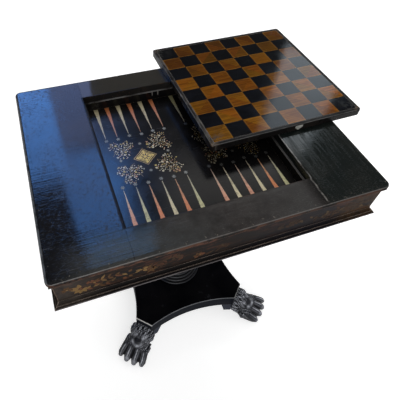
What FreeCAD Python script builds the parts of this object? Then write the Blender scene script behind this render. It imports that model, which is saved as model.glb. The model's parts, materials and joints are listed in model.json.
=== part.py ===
"""Ebonised games table: a framed top with a sunk backgammon well, a deep apron, a turned pillar on a
hollow-sided platform with four carved paw feet, and a loose chess panel that lies on the top.

The table is modelled about its pillar's axis with the floor at z = 0. X runs along the long side, Y
from the front to the back. At the end the whole part is shifted so that the origin is on the floor
at the middle of its outline, the loose panel included. All lengths are in millimetres."""

import FreeCAD
import Part
import math
import os

V = FreeCAD.Vector
UP = V(0, 0, 1)

# The table as a whole
TABLE_HEIGHT = 750.0
TOP_WIDTH = 730.0
TOP_DEPTH = 554.0
CUT_OVERRUN = 2.0
JOINT_CLEARANCE = 0.15

# The framed top: two side boards and two rails around the well, with a rounded nose
TOP_THICKNESS = 18.0
TOP_CORNER_RADIUS = 13.0
TOP_NOSE_RADIUS = 7.0
RAIL_WIDTH = 71.5
TONGUE_LENGTH = 10.0
TONGUE_THICKNESS = 6.0
TONGUE_SHOULDER = 16.0

# The backgammon well: lining boards that stand proud as a ledge, and a grooved-in floor
WELL_DEPTH = 41.0
LEDGE_WIDTH = 5.0
LINING_THICKNESS = 14.0
LINING_LIP = 7.0
FLOOR_THICKNESS = 9.0
FLOOR_GROOVE = 5.0
GLUE_BLOCK_LENGTH = 60.0
GLUE_BLOCK_SIZE = 14.0
GLUE_BLOCK_PITCH = 220.0

# The apron: four mitred boards set in under the top's edge
TOP_OVERHANG = 8.0
APRON_THICKNESS = 20.0
APRON_HEIGHT = 86.5
CORNER_BLOCK_LEG = 34.0
CORNER_BLOCK_HEIGHT = 40.0
TOP_SCREW_RADIUS = 2.2
TOP_SCREW_HEAD_RADIUS = 4.2
TOP_SCREW_HEAD_HEIGHT = 2.6
TOP_SCREW_BITE = 11.0

# The small cove between the top and the apron
COVE_HEIGHT = 7.0
COVE_PROJECTION = 5.0
COVE_LIP = 1.0
COVE_VIA_SHARE = 0.3

# The apron's bottom moulding: a bead, a fillet and a cove
BEAD_RADIUS = 4.5
BEAD_SETOUT = 6.5
FILLET_HEIGHT = 2.0
BASE_COVE_HEIGHT = 8.0
BASE_COVE_LIP = 0.8
BASE_COVE_VIA_SHARE = 0.3

# The bearers under the well and the block that the pillar is tenoned into
BEARER_WIDTH = 46.0
BEARER_HEIGHT = 24.0
BEARER_PITCH = 200.0
BEARER_TENON_LENGTH = 10.0
BEARER_SHOULDER = 4.0
PILLAR_BLOCK_WIDTH = 270.0
BLOCK_THICKNESS = 22.0
BLOCK_SCREW_PITCH = 190.0
BLOCK_SCREW_RADIUS = 2.5
BLOCK_SCREW_HEAD_RADIUS = 4.8
BLOCK_SCREW_HEAD_HEIGHT = 3.0
BLOCK_SCREW_BITE = 14.0

# The turned pillar: socle rings at its foot, a baluster shaft and a cap ring
SOCLE_RADIUS = 85.0
SOCLE_RING_COUNT = 4
SOCLE_RING_HEIGHT = 9.0
SOCLE_RING_STEP = 7.0
SOCLE_RING_BULGE = 3.5
CAP_RADIUS = 64.0
CAP_HEIGHT = 26.0
CAP_BEAD_HEIGHT = 10.0
CAP_NECK_RADIUS = 48.0
CAP_COVE_VIA_SHARE = 0.3
SHAFT_RADIUS = 48.0
TENON_RADIUS = 19.0
WEDGE_DEPTH = 16.0
WEDGE_THICKNESS = 3.0
WEDGE_TIP_THICKNESS = 1.0

# Shaft outline, as (share of the shaft's length, share of its largest radius), ring then vase then neck
SHAFT_RING_SHARES = ((0.00, 0.86), (0.022, 0.95), (0.044, 0.86))
SHAFT_FILLET_SHARES = ((0.044, 0.74), (0.062, 0.74))
SHAFT_THROAT_SHARES = ((0.10, 0.56), (0.16, 0.62))
SHAFT_VASE_SHARES = ((0.32, 1.00), (0.52, 0.80))
SHAFT_NECK_SHARES = ((0.68, 0.56), (0.80, 0.50))
SHAFT_COLLAR_SHARES = ((0.80, 0.66), (0.83, 0.76), (0.86, 0.66))
SHAFT_BELL_SHARES = ((0.86, 0.54), (0.94, 0.60), (1.00, 0.82))

# The platform: a square slab with hollow sides and canted corners
PLATFORM_REACH = 191.0
PLATFORM_CANT = 41.0
PLATFORM_SAG = 25.0
PLATFORM_THICKNESS = 57.0
PLATFORM_ARRIS = 1.6

# The bracket under each canted corner, with a sloping inner end
BRACKET_HEIGHT = 48.0
BRACKET_FLOOR_GAP = 12.0
BRACKET_LENGTH = 34.0
BRACKET_FOOT_LENGTH = 22.0
BRACKET_SCREW_OFFSET = 18.0
BRACKET_SCREW_SETBACK = 11.0
BRACKET_SCREW_RADIUS = 2.4
BRACKET_SCREW_HEAD_RADIUS = 4.6
BRACKET_SCREW_HEAD_HEIGHT = 2.8
BRACKET_SCREW_BITE = 22.0

# The carved paw: length out from the canted corner, width across its toes and height at its collar
PAW_LENGTH = 110.0
PAW_WIDTH = 98.0
PAW_HEIGHT = 93.0
TOE_RADIUS = 12.5
KNUCKLE_RADIUS = 15.0
TOE_PAD_RADIUS = 11.0
TOE_TAPER = 1.2
CLAW_RADIUS = 4.2
CLAW_TIP_RADIUS = 1.6
CLAW_LENGTH = 9.0
CABOCHON_RADIUS = 17.0
SCROLL_RADIUS = 19.0
SCROLL_WIDTH = 9.0
DOWEL_RADIUS = 5.0
DOWEL_LENGTH = 40.0
UPPER_DOWEL_RISE = 11.0
LOWER_DOWEL_DROP = 24.0

# Cross sections of the paw's leg: share of the length, then of half the width, then the underside, the
# shoulder and the crown as shares of the height. Below the floor they are cut to the flat sole.
LEG_SHARES = (
    (0.00, 0.62, 0.13, 0.70, 1.00),
    (0.13, 0.68, -0.04, 0.62, 0.96),
    (0.32, 0.70, -0.04, 0.42, 0.78),
    (0.54, 0.64, -0.04, 0.24, 0.48),
    (0.72, 0.68, -0.04, 0.12, 0.27),
)
# Toes: root, knuckle and tip as shares of the length, and their places across as shares of half the width
TOE_ROOT_SHARE = 0.50
KNUCKLE_SHARE = 0.70
INNER_TOE_TIP_SHARE = 0.87
OUTER_TOE_TIP_SHARE = 0.80
INNER_TOE_SPREAD_SHARES = (0.19, 0.22, 0.25)
OUTER_TOE_SPREAD_SHARES = (0.50, 0.63, 0.73)
TOE_HEIGHT_SHARES = (0.38, 0.28, 0.21)
TOE_PAD_HEIGHT_SHARE = 0.10
CLAW_DROP_SHARE = 0.5
CABOCHON_SHARES = (0.38, 0.55)
SCROLL_SHARES = (0.30, 0.26)

# The loose chess panel: a core with veneered squares inside mitred edge strips
PANEL_CLEARANCE = 1.5
PANEL_THICKNESS = 17.5
PANEL_EDGE_WIDTH = 10.0
PANEL_CORNER_RADIUS = 7.0
PANEL_EDGE_ROUNDING = 1.5
VENEER_THICKNESS = 1.5
SQUARES_ACROSS = 8
PANEL_REST_X = 231.0
PANEL_REST_Y = 139.0
PANEL_REST_YAW = 1.2

# The shield-shaped metal plate on the panel's front edge, let in and pinned
PLATE_WIDTH = 20.0
PLATE_HEIGHT = 13.0
PLATE_SHOULDER_SHARE = 0.45
PLATE_THICKNESS = 1.4
PLATE_INLET = 0.8
PLATE_SQUARES_OFFSET = 0.5
PIN_RADIUS = 0.9
PIN_LENGTH = 9.0
PIN_PITCH = 13.0

# Levels worked out from the sizes above
TOP_UNDERSIDE = TABLE_HEIGHT - TOP_THICKNESS
APRON_BOTTOM = TOP_UNDERSIDE - APRON_HEIGHT
FLOOR_LEVEL = TABLE_HEIGHT - WELL_DEPTH
FLOOR_UNDERSIDE = FLOOR_LEVEL - FLOOR_THICKNESS
LINING_BOTTOM = FLOOR_UNDERSIDE - LINING_LIP
BEARER_BOTTOM = LINING_BOTTOM - BEARER_HEIGHT
BLOCK_BOTTOM = BEARER_BOTTOM - BLOCK_THICKNESS
SLAB_BOTTOM = BRACKET_FLOOR_GAP + BRACKET_HEIGHT
SLAB_TOP = SLAB_BOTTOM + PLATFORM_THICKNESS
SHAFT_BOTTOM = SLAB_TOP + SOCLE_RING_COUNT * SOCLE_RING_HEIGHT
SHAFT_TOP = BLOCK_BOTTOM - CAP_HEIGHT

# Half sizes in plan
TOP_X = TOP_WIDTH / 2
TOP_Y = TOP_DEPTH / 2
WELL_HALF = TOP_Y - RAIL_WIDTH
LINING_HALF = WELL_HALF - LEDGE_WIDTH
APRON_X = TOP_X - TOP_OVERHANG
APRON_Y = TOP_Y - TOP_OVERHANG
INSIDE_X = APRON_X - APRON_THICKNESS
INSIDE_Y = APRON_Y - APRON_THICKNESS
PANEL_HALF = WELL_HALF - PANEL_CLEARANCE
CORE_HALF = PANEL_HALF - PANEL_EDGE_WIDTH
SQUARE_SIZE = 2 * CORE_HALF / SQUARES_ACROSS
CANT_DISTANCE = (2 * PLATFORM_REACH - PLATFORM_CANT) / math.sqrt(2)

# Each side of the table, by the signs of the two corners that it runs between
SIDES = {
    "front": ((-1, -1), (1, -1)),
    "right": ((1, -1), (1, 1)),
    "back": ((1, 1), (-1, 1)),
    "left": ((-1, 1), (-1, -1)),
}
# Each corner of the platform, by the direction that it points in
CORNERS = {"front_left": 225, "front_right": 315, "back_right": 45, "back_left": 135}


def block(x0, x1, y0, y1, z0, z1):
    return Part.makeBox(x1 - x0, y1 - y0, z1 - z0, V(x0, y0, z0))


def outline_face(outline, place):
    """A flat face inside a closed outline. A step is a point, joined by a line, or a pair of points,
    joined by an arc through the first to the second."""
    edges = []
    here = outline[0]
    for step in list(outline[1:]) + [outline[0]]:
        if isinstance(step[0], tuple):
            via, end = step
            edges.append(Part.Arc(place(*here), place(*via), place(*end)).toShape())
        else:
            end = step
            edges.append(Part.LineSegment(place(*here), place(*end)).toShape())
        here = end
    return Part.Face(Part.Wire(edges))


def prism(outline, z0, z1):
    face = outline_face(outline, lambda x, y: V(x, y, z0))
    return face.extrude(V(0, 0, z1 - z0))


def turned(outline):
    """A solid of revolution about the pillar's axis from an outline of (radius, height) points."""
    face = outline_face(outline, lambda r, z: V(r, 0, z))
    return face.revolve(V(0, 0, 0), UP, 360)


def side_prism(side, half_x, half_y, outward, inward, z0, z1):
    """One side of a mitred frame about the rectangle with these half sizes."""
    points = []
    for (sx, sy), offset in zip(SIDES[side] + SIDES[side][::-1], (outward, outward, -inward, -inward)):
        points.append((sx * (half_x + offset), sy * (half_y + offset)))
    return prism(points, z0, z1)


def moulding(side, half_x, half_y, outline, reach, z0, z1):
    """A strip along one side with this outline of (projection, height) points, mitred at its ends."""
    (ax, ay), (bx, by) = SIDES[side]
    start = V(ax * half_x, ay * half_y, 0)
    along = V(bx * half_x, by * half_y, 0) - start
    run = V(along).normalize()
    out = run.cross(UP)
    overrun = run * (reach + CUT_OVERRUN)
    face = outline_face(outline, lambda p, z: start - overrun + out * p + UP * z)
    strip = face.extrude(along + overrun * 2)
    return strip.common(side_prism(side, half_x, half_y, reach + CUT_OVERRUN, 0, z0, z1))


def screw(radius, head_radius, head_height, length):
    """A countersunk wood screw standing on its head, pointing up from z = 0."""
    head = Part.makeCone(head_radius, radius, head_height)
    return head.fuse(Part.makeCylinder(radius, length)).removeSplitter()


def screw_hole(radius, head_radius, head_height, length):
    gap = JOINT_CLEARANCE
    return screw(radius + gap, head_radius + gap, head_height, length + gap)


def moved(shape, x, y, z):
    copy = shape.copy()
    copy.translate(V(x, y, z))
    return copy


def turned_to(shape, angle, radius):
    """A copy whose own +X points along the given direction, at this distance from the axis."""
    copy = moved(shape, radius, 0, 0)
    copy.rotate(V(0, 0, 0), UP, angle)
    return copy


def rounded_slab(half_x, half_y, z0, z1, corner_radius, edge_radius):
    """A slab with round corners in plan and rounded upper and lower edges."""
    slab = block(-half_x, half_x, -half_y, half_y, z0, z1)
    upright = [e for e in slab.Edges if abs(e.tangentAt(e.FirstParameter).dot(UP)) > 0.5]
    slab = slab.makeFillet(corner_radius, upright)
    middle = (z0 + z1) / 2
    level = [e for e in slab.Edges if abs(e.BoundBox.ZMax - e.BoundBox.ZMin) < abs(middle - z0)]
    return slab.makeFillet(edge_radius, level)


def top_frame():
    """Left and right boards that run the full depth, and two rails tongued between them."""
    slab = rounded_slab(TOP_X, TOP_Y, TOP_UNDERSIDE, TABLE_HEIGHT, TOP_CORNER_RADIUS, TOP_NOSE_RADIUS)
    edge_x = TOP_X + CUT_OVERRUN
    edge_y = TOP_Y + CUT_OVERRUN
    low = TOP_UNDERSIDE - CUT_OVERRUN
    high = TABLE_HEIGHT + CUT_OVERRUN
    nodes = {
        "top_left_board": slab.common(block(-edge_x, -WELL_HALF, -edge_y, edge_y, low, high)),
        "top_right_board": slab.common(block(WELL_HALF, edge_x, -edge_y, edge_y, low, high)),
        "top_front_rail": slab.common(block(-WELL_HALF, WELL_HALF, -edge_y, -WELL_HALF, low, high)),
        "top_back_rail": slab.common(block(-WELL_HALF, WELL_HALF, WELL_HALF, edge_y, low, high)),
    }
    z = (TOP_UNDERSIDE + TABLE_HEIGHT - TONGUE_THICKNESS) / 2
    gap = JOINT_CLEARANCE
    for rail, sy in (("top_front_rail", -1), ("top_back_rail", 1)):
        y0, y1 = sorted((sy * (WELL_HALF + TONGUE_SHOULDER), sy * (TOP_Y - TONGUE_SHOULDER)))
        for board, sx in (("top_left_board", -1), ("top_right_board", 1)):
            x0, x1 = sorted((sx * WELL_HALF, sx * (WELL_HALF + TONGUE_LENGTH)))
            tongue = block(x0, x1, y0, y1, z, z + TONGUE_THICKNESS)
            groove = block(x0 - gap, x1 + gap, y0 - gap, y1 + gap, z - gap, z + TONGUE_THICKNESS + gap)
            nodes[rail] = nodes[rail].fuse(tongue).removeSplitter()
            nodes[board] = nodes[board].cut(groove)
    return nodes


def well():
    """The four lining boards, the backgammon floor in their groove, and the glue blocks behind them."""
    nodes = {}
    reach = LINING_HALF + FLOOR_GROOVE
    groove = block(-reach, reach, -reach, reach, FLOOR_UNDERSIDE, FLOOR_LEVEL)
    for side in SIDES:
        lining = side_prism(side, LINING_HALF, LINING_HALF, LINING_THICKNESS, 0, LINING_BOTTOM, TOP_UNDERSIDE)
        nodes["well_lining_" + side] = lining.cut(groove)
    half = reach - JOINT_CLEARANCE
    nodes["backgammon_floor"] = block(-half, half, -half, half, FLOOR_UNDERSIDE, FLOOR_LEVEL)
    inner = LINING_HALF + LINING_THICKNESS
    blocks = []
    for quarter in range(4):
        for place in (-GLUE_BLOCK_PITCH / 2, GLUE_BLOCK_PITCH / 2):
            start = place - GLUE_BLOCK_LENGTH / 2
            low = TOP_UNDERSIDE - GLUE_BLOCK_SIZE
            piece = block(inner, inner + GLUE_BLOCK_SIZE, start, start + GLUE_BLOCK_LENGTH, low, TOP_UNDERSIDE)
            piece.rotate(V(0, 0, 0), UP, quarter * 90)
            blocks.append(piece)
    nodes["well_glue_blocks"] = Part.makeCompound(blocks)
    return nodes


def apron():
    """The mitred apron boards with their cove above and moulding below."""
    cove = [
        (0, TOP_UNDERSIDE),
        (0, TOP_UNDERSIDE - COVE_HEIGHT),
        (COVE_LIP, TOP_UNDERSIDE - COVE_HEIGHT),
        (
            (
                COVE_LIP + (COVE_PROJECTION - COVE_LIP) * COVE_VIA_SHARE,
                TOP_UNDERSIDE - COVE_LIP - (COVE_HEIGHT - COVE_LIP) * COVE_VIA_SHARE,
            ),
            (COVE_PROJECTION, TOP_UNDERSIDE - COVE_LIP),
        ),
        (COVE_PROJECTION, TOP_UNDERSIDE),
    ]
    bead_top = APRON_BOTTOM + 2 * BEAD_RADIUS
    fillet_top = bead_top + FILLET_HEIGHT
    moulding_top = fillet_top + BASE_COVE_HEIGHT
    base = [
        (0, APRON_BOTTOM),
        (BEAD_SETOUT, APRON_BOTTOM),
        ((BEAD_SETOUT + BEAD_RADIUS, APRON_BOTTOM + BEAD_RADIUS), (BEAD_SETOUT, bead_top)),
        (BEAD_SETOUT, fillet_top),
        (
            (
                BASE_COVE_LIP + (BEAD_SETOUT - BASE_COVE_LIP) * BASE_COVE_VIA_SHARE,
                fillet_top + BASE_COVE_HEIGHT * BASE_COVE_VIA_SHARE,
            ),
            (BASE_COVE_LIP, moulding_top),
        ),
        (0, moulding_top),
    ]
    nodes = {}
    for side in SIDES:
        nodes["apron_" + side] = side_prism(
            side, APRON_X, APRON_Y, 0, APRON_THICKNESS, APRON_BOTTOM, TOP_UNDERSIDE
        )
        nodes["cove_" + side] = moulding(
            side, APRON_X, APRON_Y, cove, COVE_PROJECTION, TOP_UNDERSIDE - COVE_HEIGHT, TOP_UNDERSIDE
        )
        nodes["base_moulding_" + side] = moulding(
            side, APRON_X, APRON_Y, base, BEAD_SETOUT + BEAD_RADIUS, APRON_BOTTOM, moulding_top
        )
    return nodes


def corner_blocks(nodes):
    """Triangular blocks in the apron's corners, each with a screw up into the top board above it."""
    low = TOP_UNDERSIDE - CORNER_BLOCK_HEIGHT
    sizes = (TOP_SCREW_RADIUS, TOP_SCREW_HEAD_RADIUS, TOP_SCREW_HEAD_HEIGHT)
    length = CORNER_BLOCK_HEIGHT + TOP_SCREW_BITE
    blocks = []
    screws = []
    for sx in (-1, 1):
        for sy in (-1, 1):
            x = sx * INSIDE_X
            y = sy * INSIDE_Y
            corner = [(x, y), (x - sx * CORNER_BLOCK_LEG, y), (x, y - sy * CORNER_BLOCK_LEG)]
            place = (x - sx * CORNER_BLOCK_LEG / 3, y - sy * CORNER_BLOCK_LEG / 3, low)
            hole = moved(screw_hole(*sizes, length), *place)
            blocks.append(prism(corner, low, TOP_UNDERSIDE).cut(hole))
            screws.append(moved(screw(*sizes, length), *place))
            board = "top_left_board" if sx < 0 else "top_right_board"
            nodes[board] = nodes[board].cut(hole)
    nodes["corner_blocks"] = Part.makeCompound(blocks)
    nodes["top_screws"] = Part.makeCompound(screws)


def bearers(nodes):
    """Two bearers tenoned into the apron under the well, and the pillar block screwed to them."""
    gap = JOINT_CLEARANCE
    for name, sx in (("bearer_left", -1), ("bearer_right", 1)):
        x0 = sx * BEARER_PITCH / 2 - BEARER_WIDTH / 2
        x1 = x0 + BEARER_WIDTH
        bearer = block(x0, x1, -INSIDE_Y, INSIDE_Y, BEARER_BOTTOM, LINING_BOTTOM)
        for side, sy in (("apron_front", -1), ("apron_back", 1)):
            y0, y1 = sorted((sy * INSIDE_Y, sy * (INSIDE_Y + BEARER_TENON_LENGTH)))
            tx0 = x0 + BEARER_SHOULDER
            tx1 = x1 - BEARER_SHOULDER
            tz0 = BEARER_BOTTOM + BEARER_SHOULDER
            tz1 = LINING_BOTTOM - BEARER_SHOULDER
            bearer = bearer.fuse(block(tx0, tx1, y0, y1, tz0, tz1))
            mortise = block(tx0 - gap, tx1 + gap, y0 - gap, y1 + gap, tz0 - gap, tz1 + gap)
            nodes[side] = nodes[side].cut(mortise)
        nodes[name] = bearer.removeSplitter()
    half = PILLAR_BLOCK_WIDTH / 2
    pillar_block = block(-half, half, -half, half, BLOCK_BOTTOM, BEARER_BOTTOM)
    bore = Part.makeCylinder(TENON_RADIUS + gap, BLOCK_THICKNESS, V(0, 0, BLOCK_BOTTOM))
    pillar_block = pillar_block.cut(bore)
    sizes = (BLOCK_SCREW_RADIUS, BLOCK_SCREW_HEAD_RADIUS, BLOCK_SCREW_HEAD_HEIGHT)
    length = BLOCK_THICKNESS + BLOCK_SCREW_BITE
    screws = []
    for name, sx in (("bearer_left", -1), ("bearer_right", 1)):
        for sy in (-1, 1):
            place = (sx * BEARER_PITCH / 2, sy * BLOCK_SCREW_PITCH / 2, BLOCK_BOTTOM)
            hole = moved(screw_hole(*sizes, length), *place)
            pillar_block = pillar_block.cut(hole)
            nodes[name] = nodes[name].cut(hole)
            screws.append(moved(screw(*sizes, length), *place))
    nodes["pillar_block"] = pillar_block
    nodes["block_screws"] = Part.makeCompound(screws)


def shaft_point(shares):
    height_share, radius_share = shares
    return (SHAFT_RADIUS * radius_share, SHAFT_BOTTOM + (SHAFT_TOP - SHAFT_BOTTOM) * height_share)


def wedge(z, direction):
    """A flat wedge driven into the tenon's end at this height, thick end outwards."""
    half = WEDGE_THICKNESS / 2
    tip = WEDGE_TIP_THICKNESS / 2
    end = z - direction * WEDGE_DEPTH
    face = outline_face([(-half, z), (half, z), (tip, end), (-tip, end)], lambda x, h: V(x, 0, h))
    piece = face.extrude(V(0, 2 * TENON_RADIUS, 0))
    piece.translate(V(0, -TENON_RADIUS, 0))
    return piece.common(Part.makeCylinder(TENON_RADIUS, WEDGE_DEPTH, V(0, 0, min(z, end))))


def pillar():
    """The ringed socle, the baluster shaft with a tenon at each end, its cap ring and the tenon wedges."""
    bore = TENON_RADIUS + JOINT_CLEARANCE
    socle = [(bore, SLAB_TOP)]
    for ring in range(SOCLE_RING_COUNT):
        radius = SOCLE_RADIUS - SOCLE_RING_BULGE - ring * SOCLE_RING_STEP
        low = SLAB_TOP + ring * SOCLE_RING_HEIGHT
        high = low + SOCLE_RING_HEIGHT
        socle.append((radius, low))
        socle.append(((radius + SOCLE_RING_BULGE, (low + high) / 2), (radius, high)))
    socle.append((bore, SHAFT_BOTTOM))

    ring0, ring1, ring2 = [shaft_point(s) for s in SHAFT_RING_SHARES]
    fillet0, fillet1 = [shaft_point(s) for s in SHAFT_FILLET_SHARES]
    throat0, throat1 = [shaft_point(s) for s in SHAFT_THROAT_SHARES]
    vase0, vase1 = [shaft_point(s) for s in SHAFT_VASE_SHARES]
    neck0, neck1 = [shaft_point(s) for s in SHAFT_NECK_SHARES]
    collar0, collar1, collar2 = [shaft_point(s) for s in SHAFT_COLLAR_SHARES]
    bell0, bell1, bell2 = [shaft_point(s) for s in SHAFT_BELL_SHARES]
    shaft = turned(
        [
            (0, SLAB_BOTTOM),
            (TENON_RADIUS, SLAB_BOTTOM),
            (TENON_RADIUS, SHAFT_BOTTOM),
            ring0,
            (ring1, ring2),
            fillet0,
            fillet1,
            (throat0, throat1),
            (vase0, vase1),
            (neck0, neck1),
            collar0,
            (collar1, collar2),
            bell0,
            (bell1, bell2),
            (TENON_RADIUS, SHAFT_TOP),
            (TENON_RADIUS, BEARER_BOTTOM),
            (0, BEARER_BOTTOM),
        ]
    )
    wedges = [wedge(SLAB_BOTTOM, -1), wedge(BEARER_BOTTOM, 1)]
    for piece in wedges:
        shaft = shaft.cut(piece)

    bead_low = BLOCK_BOTTOM - CAP_BEAD_HEIGHT
    cap = [
        (bore, SHAFT_TOP),
        (CAP_NECK_RADIUS, SHAFT_TOP),
        (
            (
                CAP_NECK_RADIUS + (CAP_RADIUS - CAP_BEAD_HEIGHT / 2 - CAP_NECK_RADIUS) * CAP_COVE_VIA_SHARE,
                bead_low - (bead_low - SHAFT_TOP) * CAP_COVE_VIA_SHARE,
            ),
            (CAP_RADIUS - CAP_BEAD_HEIGHT / 2, bead_low),
        ),
        ((CAP_RADIUS, (bead_low + BLOCK_BOTTOM) / 2), (CAP_RADIUS - CAP_BEAD_HEIGHT / 2, BLOCK_BOTTOM)),
        (bore, BLOCK_BOTTOM),
    ]
    return {
        "pillar_socle": turned(socle),
        "pillar_shaft": shaft,
        "pillar_cap": turned(cap),
        "tenon_wedges": Part.makeCompound(wedges),
    }


def platform_outline():
    """The slab's plan: four hollow sides drawn as arcs, joined by the straight canted corners."""
    reach = PLATFORM_REACH
    near = PLATFORM_REACH - PLATFORM_CANT
    hollow = PLATFORM_REACH - PLATFORM_SAG
    return [
        (-near, -reach),
        ((0, -hollow), (near, -reach)),
        (reach, -near),
        ((hollow, 0), (reach, near)),
        (near, reach),
        ((0, hollow), (-near, reach)),
        (-reach, near),
        ((-hollow, 0), (-reach, -near)),
    ]


def platform():
    """The slab with a bore for the pillar's tenon, and a bracket under each canted corner."""
    slab = prism(platform_outline(), SLAB_BOTTOM, SLAB_TOP)
    upper = [e for e in slab.Edges if e.BoundBox.ZMin > (SLAB_BOTTOM + SLAB_TOP) / 2]
    slab = slab.makeChamfer(PLATFORM_ARRIS, upper)
    bore = Part.makeCylinder(TENON_RADIUS + JOINT_CLEARANCE, PLATFORM_THICKNESS, V(0, 0, SLAB_BOTTOM))
    nodes = {"platform_slab": slab.cut(bore)}
    under = prism(platform_outline(), BRACKET_FLOOR_GAP, SLAB_BOTTOM)
    end = [
        (CUT_OVERRUN, SLAB_BOTTOM),
        (-BRACKET_LENGTH, SLAB_BOTTOM),
        (-BRACKET_FOOT_LENGTH, BRACKET_FLOOR_GAP),
        (CUT_OVERRUN, BRACKET_FLOOR_GAP),
    ]
    slice_face = outline_face(end, lambda u, z: V(u, -PLATFORM_REACH, z))
    corner_slice = slice_face.extrude(V(0, 2 * PLATFORM_REACH, 0))
    for corner, angle in CORNERS.items():
        nodes["bracket_" + corner] = under.common(turned_to(corner_slice, angle, CANT_DISTANCE))
    return nodes


def bracket_screws(nodes):
    """Two screws up through each bracket into the slab."""
    sizes = (BRACKET_SCREW_RADIUS, BRACKET_SCREW_HEAD_RADIUS, BRACKET_SCREW_HEAD_HEIGHT)
    length = BRACKET_HEIGHT + BRACKET_SCREW_BITE
    screws = []
    for corner, angle in CORNERS.items():
        for sy in (-1, 1):
            place = (-BRACKET_SCREW_SETBACK, sy * BRACKET_SCREW_OFFSET, BRACKET_FLOOR_GAP)
            hole = turned_to(moved(screw_hole(*sizes, length), *place), angle, CANT_DISTANCE)
            nodes["bracket_" + corner] = nodes["bracket_" + corner].cut(hole)
            nodes["platform_slab"] = nodes["platform_slab"].cut(hole)
            screws.append(turned_to(moved(screw(*sizes, length), *place), angle, CANT_DISTANCE))
    nodes["bracket_screws"] = Part.makeCompound(screws)


def leg_section(shares):
    """An arched cross section of the paw's leg, square to its length."""
    length_share, width_share, under_share, shoulder_share, crown_share = shares
    x = PAW_LENGTH * length_share
    half = PAW_WIDTH / 2 * width_share
    under = PAW_HEIGHT * under_share
    shoulder = PAW_HEIGHT * shoulder_share
    crown = PAW_HEIGHT * crown_share
    outline = [(-half, under), (half, under), (half, shoulder), ((0, crown), (-half, shoulder))]
    return outline_face(outline, lambda y, z: V(x, y, z)).OuterWire


def rod(start, end, start_radius, end_radius):
    """A round-ended tapering rod."""
    along = end - start
    taper = Part.makeCone(start_radius, end_radius, along.Length, start, along)
    return [Part.makeSphere(start_radius, start), taper, Part.makeSphere(end_radius, end)]


def toe(side, tip_share, spread_shares):
    """One toe from its root over the knuckle to a tip with a hooked claw."""
    places = []
    length_shares = (TOE_ROOT_SHARE, KNUCKLE_SHARE, tip_share)
    for length_share, spread_share, height_share in zip(length_shares, spread_shares, TOE_HEIGHT_SHARES):
        y = side * PAW_WIDTH / 2 * spread_share
        places.append(V(PAW_LENGTH * length_share, y, PAW_HEIGHT * height_share))
    root, knuckle, tip = places
    bones = rod(root, knuckle, KNUCKLE_RADIUS, KNUCKLE_RADIUS - TOE_TAPER)
    bones += rod(knuckle, tip, KNUCKLE_RADIUS - TOE_TAPER, TOE_RADIUS)
    pad_level = PAW_HEIGHT * TOE_PAD_HEIGHT_SHARE
    pad_back = V(knuckle.x, knuckle.y, pad_level)
    pad_front = V(tip.x, tip.y, pad_level)
    bones += rod(pad_back, pad_front, TOE_PAD_RADIUS, TOE_PAD_RADIUS - TOE_TAPER)
    forward = V(tip.x - knuckle.x, tip.y - knuckle.y, 0).normalize()
    hook = (forward - UP * CLAW_DROP_SHARE).normalize()
    base = pad_front + forward * (TOE_PAD_RADIUS - CLAW_RADIUS)
    claw = Part.makeCone(CLAW_RADIUS, CLAW_TIP_RADIUS, CLAW_LENGTH, base, hook)
    return bones + [claw]


def paw():
    """A paw that points along +X from its flat back face, with its sole cut level at the floor."""
    leg = Part.makeLoft([leg_section(s) for s in LEG_SHARES], True, True)
    pieces = []
    for side in (-1, 1):
        pieces += toe(side, INNER_TOE_TIP_SHARE, INNER_TOE_SPREAD_SHARES)
        pieces += toe(side, OUTER_TOE_TIP_SHARE, OUTER_TOE_SPREAD_SHARES)
        scroll_length_share, scroll_height_share = SCROLL_SHARES
        place = V(PAW_LENGTH * scroll_length_share, 0, PAW_HEIGHT * scroll_height_share)
        reach = PAW_WIDTH / 2 * LEG_SHARES[2][1] + SCROLL_WIDTH
        pieces.append(Part.makeCylinder(SCROLL_RADIUS, reach, place, V(0, side, 0)))
    length_share, height_share = CABOCHON_SHARES
    boss = V(PAW_LENGTH * length_share, 0, PAW_HEIGHT * height_share)
    pieces.append(Part.makeSphere(CABOCHON_RADIUS, boss))
    body = leg.multiFuse(pieces).removeSplitter()
    above_floor = block(0, 2 * PAW_LENGTH, -PAW_WIDTH, PAW_WIDTH, 0, 2 * PAW_HEIGHT)
    return body.common(above_floor)


def feet(nodes):
    """Four paws doweled to the canted faces of the slab and the brackets."""
    carved = paw()
    dowels = []
    levels = {"platform_slab": SLAB_BOTTOM + UPPER_DOWEL_RISE, "bracket": SLAB_BOTTOM - LOWER_DOWEL_DROP}
    half = DOWEL_LENGTH / 2
    gap = JOINT_CLEARANCE
    for corner, angle in CORNERS.items():
        foot = turned_to(carved, angle, CANT_DISTANCE)
        for carrier, z in levels.items():
            dowel = Part.makeCylinder(DOWEL_RADIUS, DOWEL_LENGTH, V(-half, 0, z), V(1, 0, 0))
            hole = Part.makeCylinder(
                DOWEL_RADIUS + gap, DOWEL_LENGTH + 2 * gap, V(-half - gap, 0, z), V(1, 0, 0)
            )
            hole = turned_to(hole, angle, CANT_DISTANCE)
            holder = carrier if carrier in nodes else "bracket_" + corner
            nodes[holder] = nodes[holder].cut(hole)
            foot = foot.cut(hole)
            dowels.append(turned_to(dowel, angle, CANT_DISTANCE))
        nodes["paw_foot_" + corner] = foot
    nodes["foot_dowels"] = Part.makeCompound(dowels)


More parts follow.
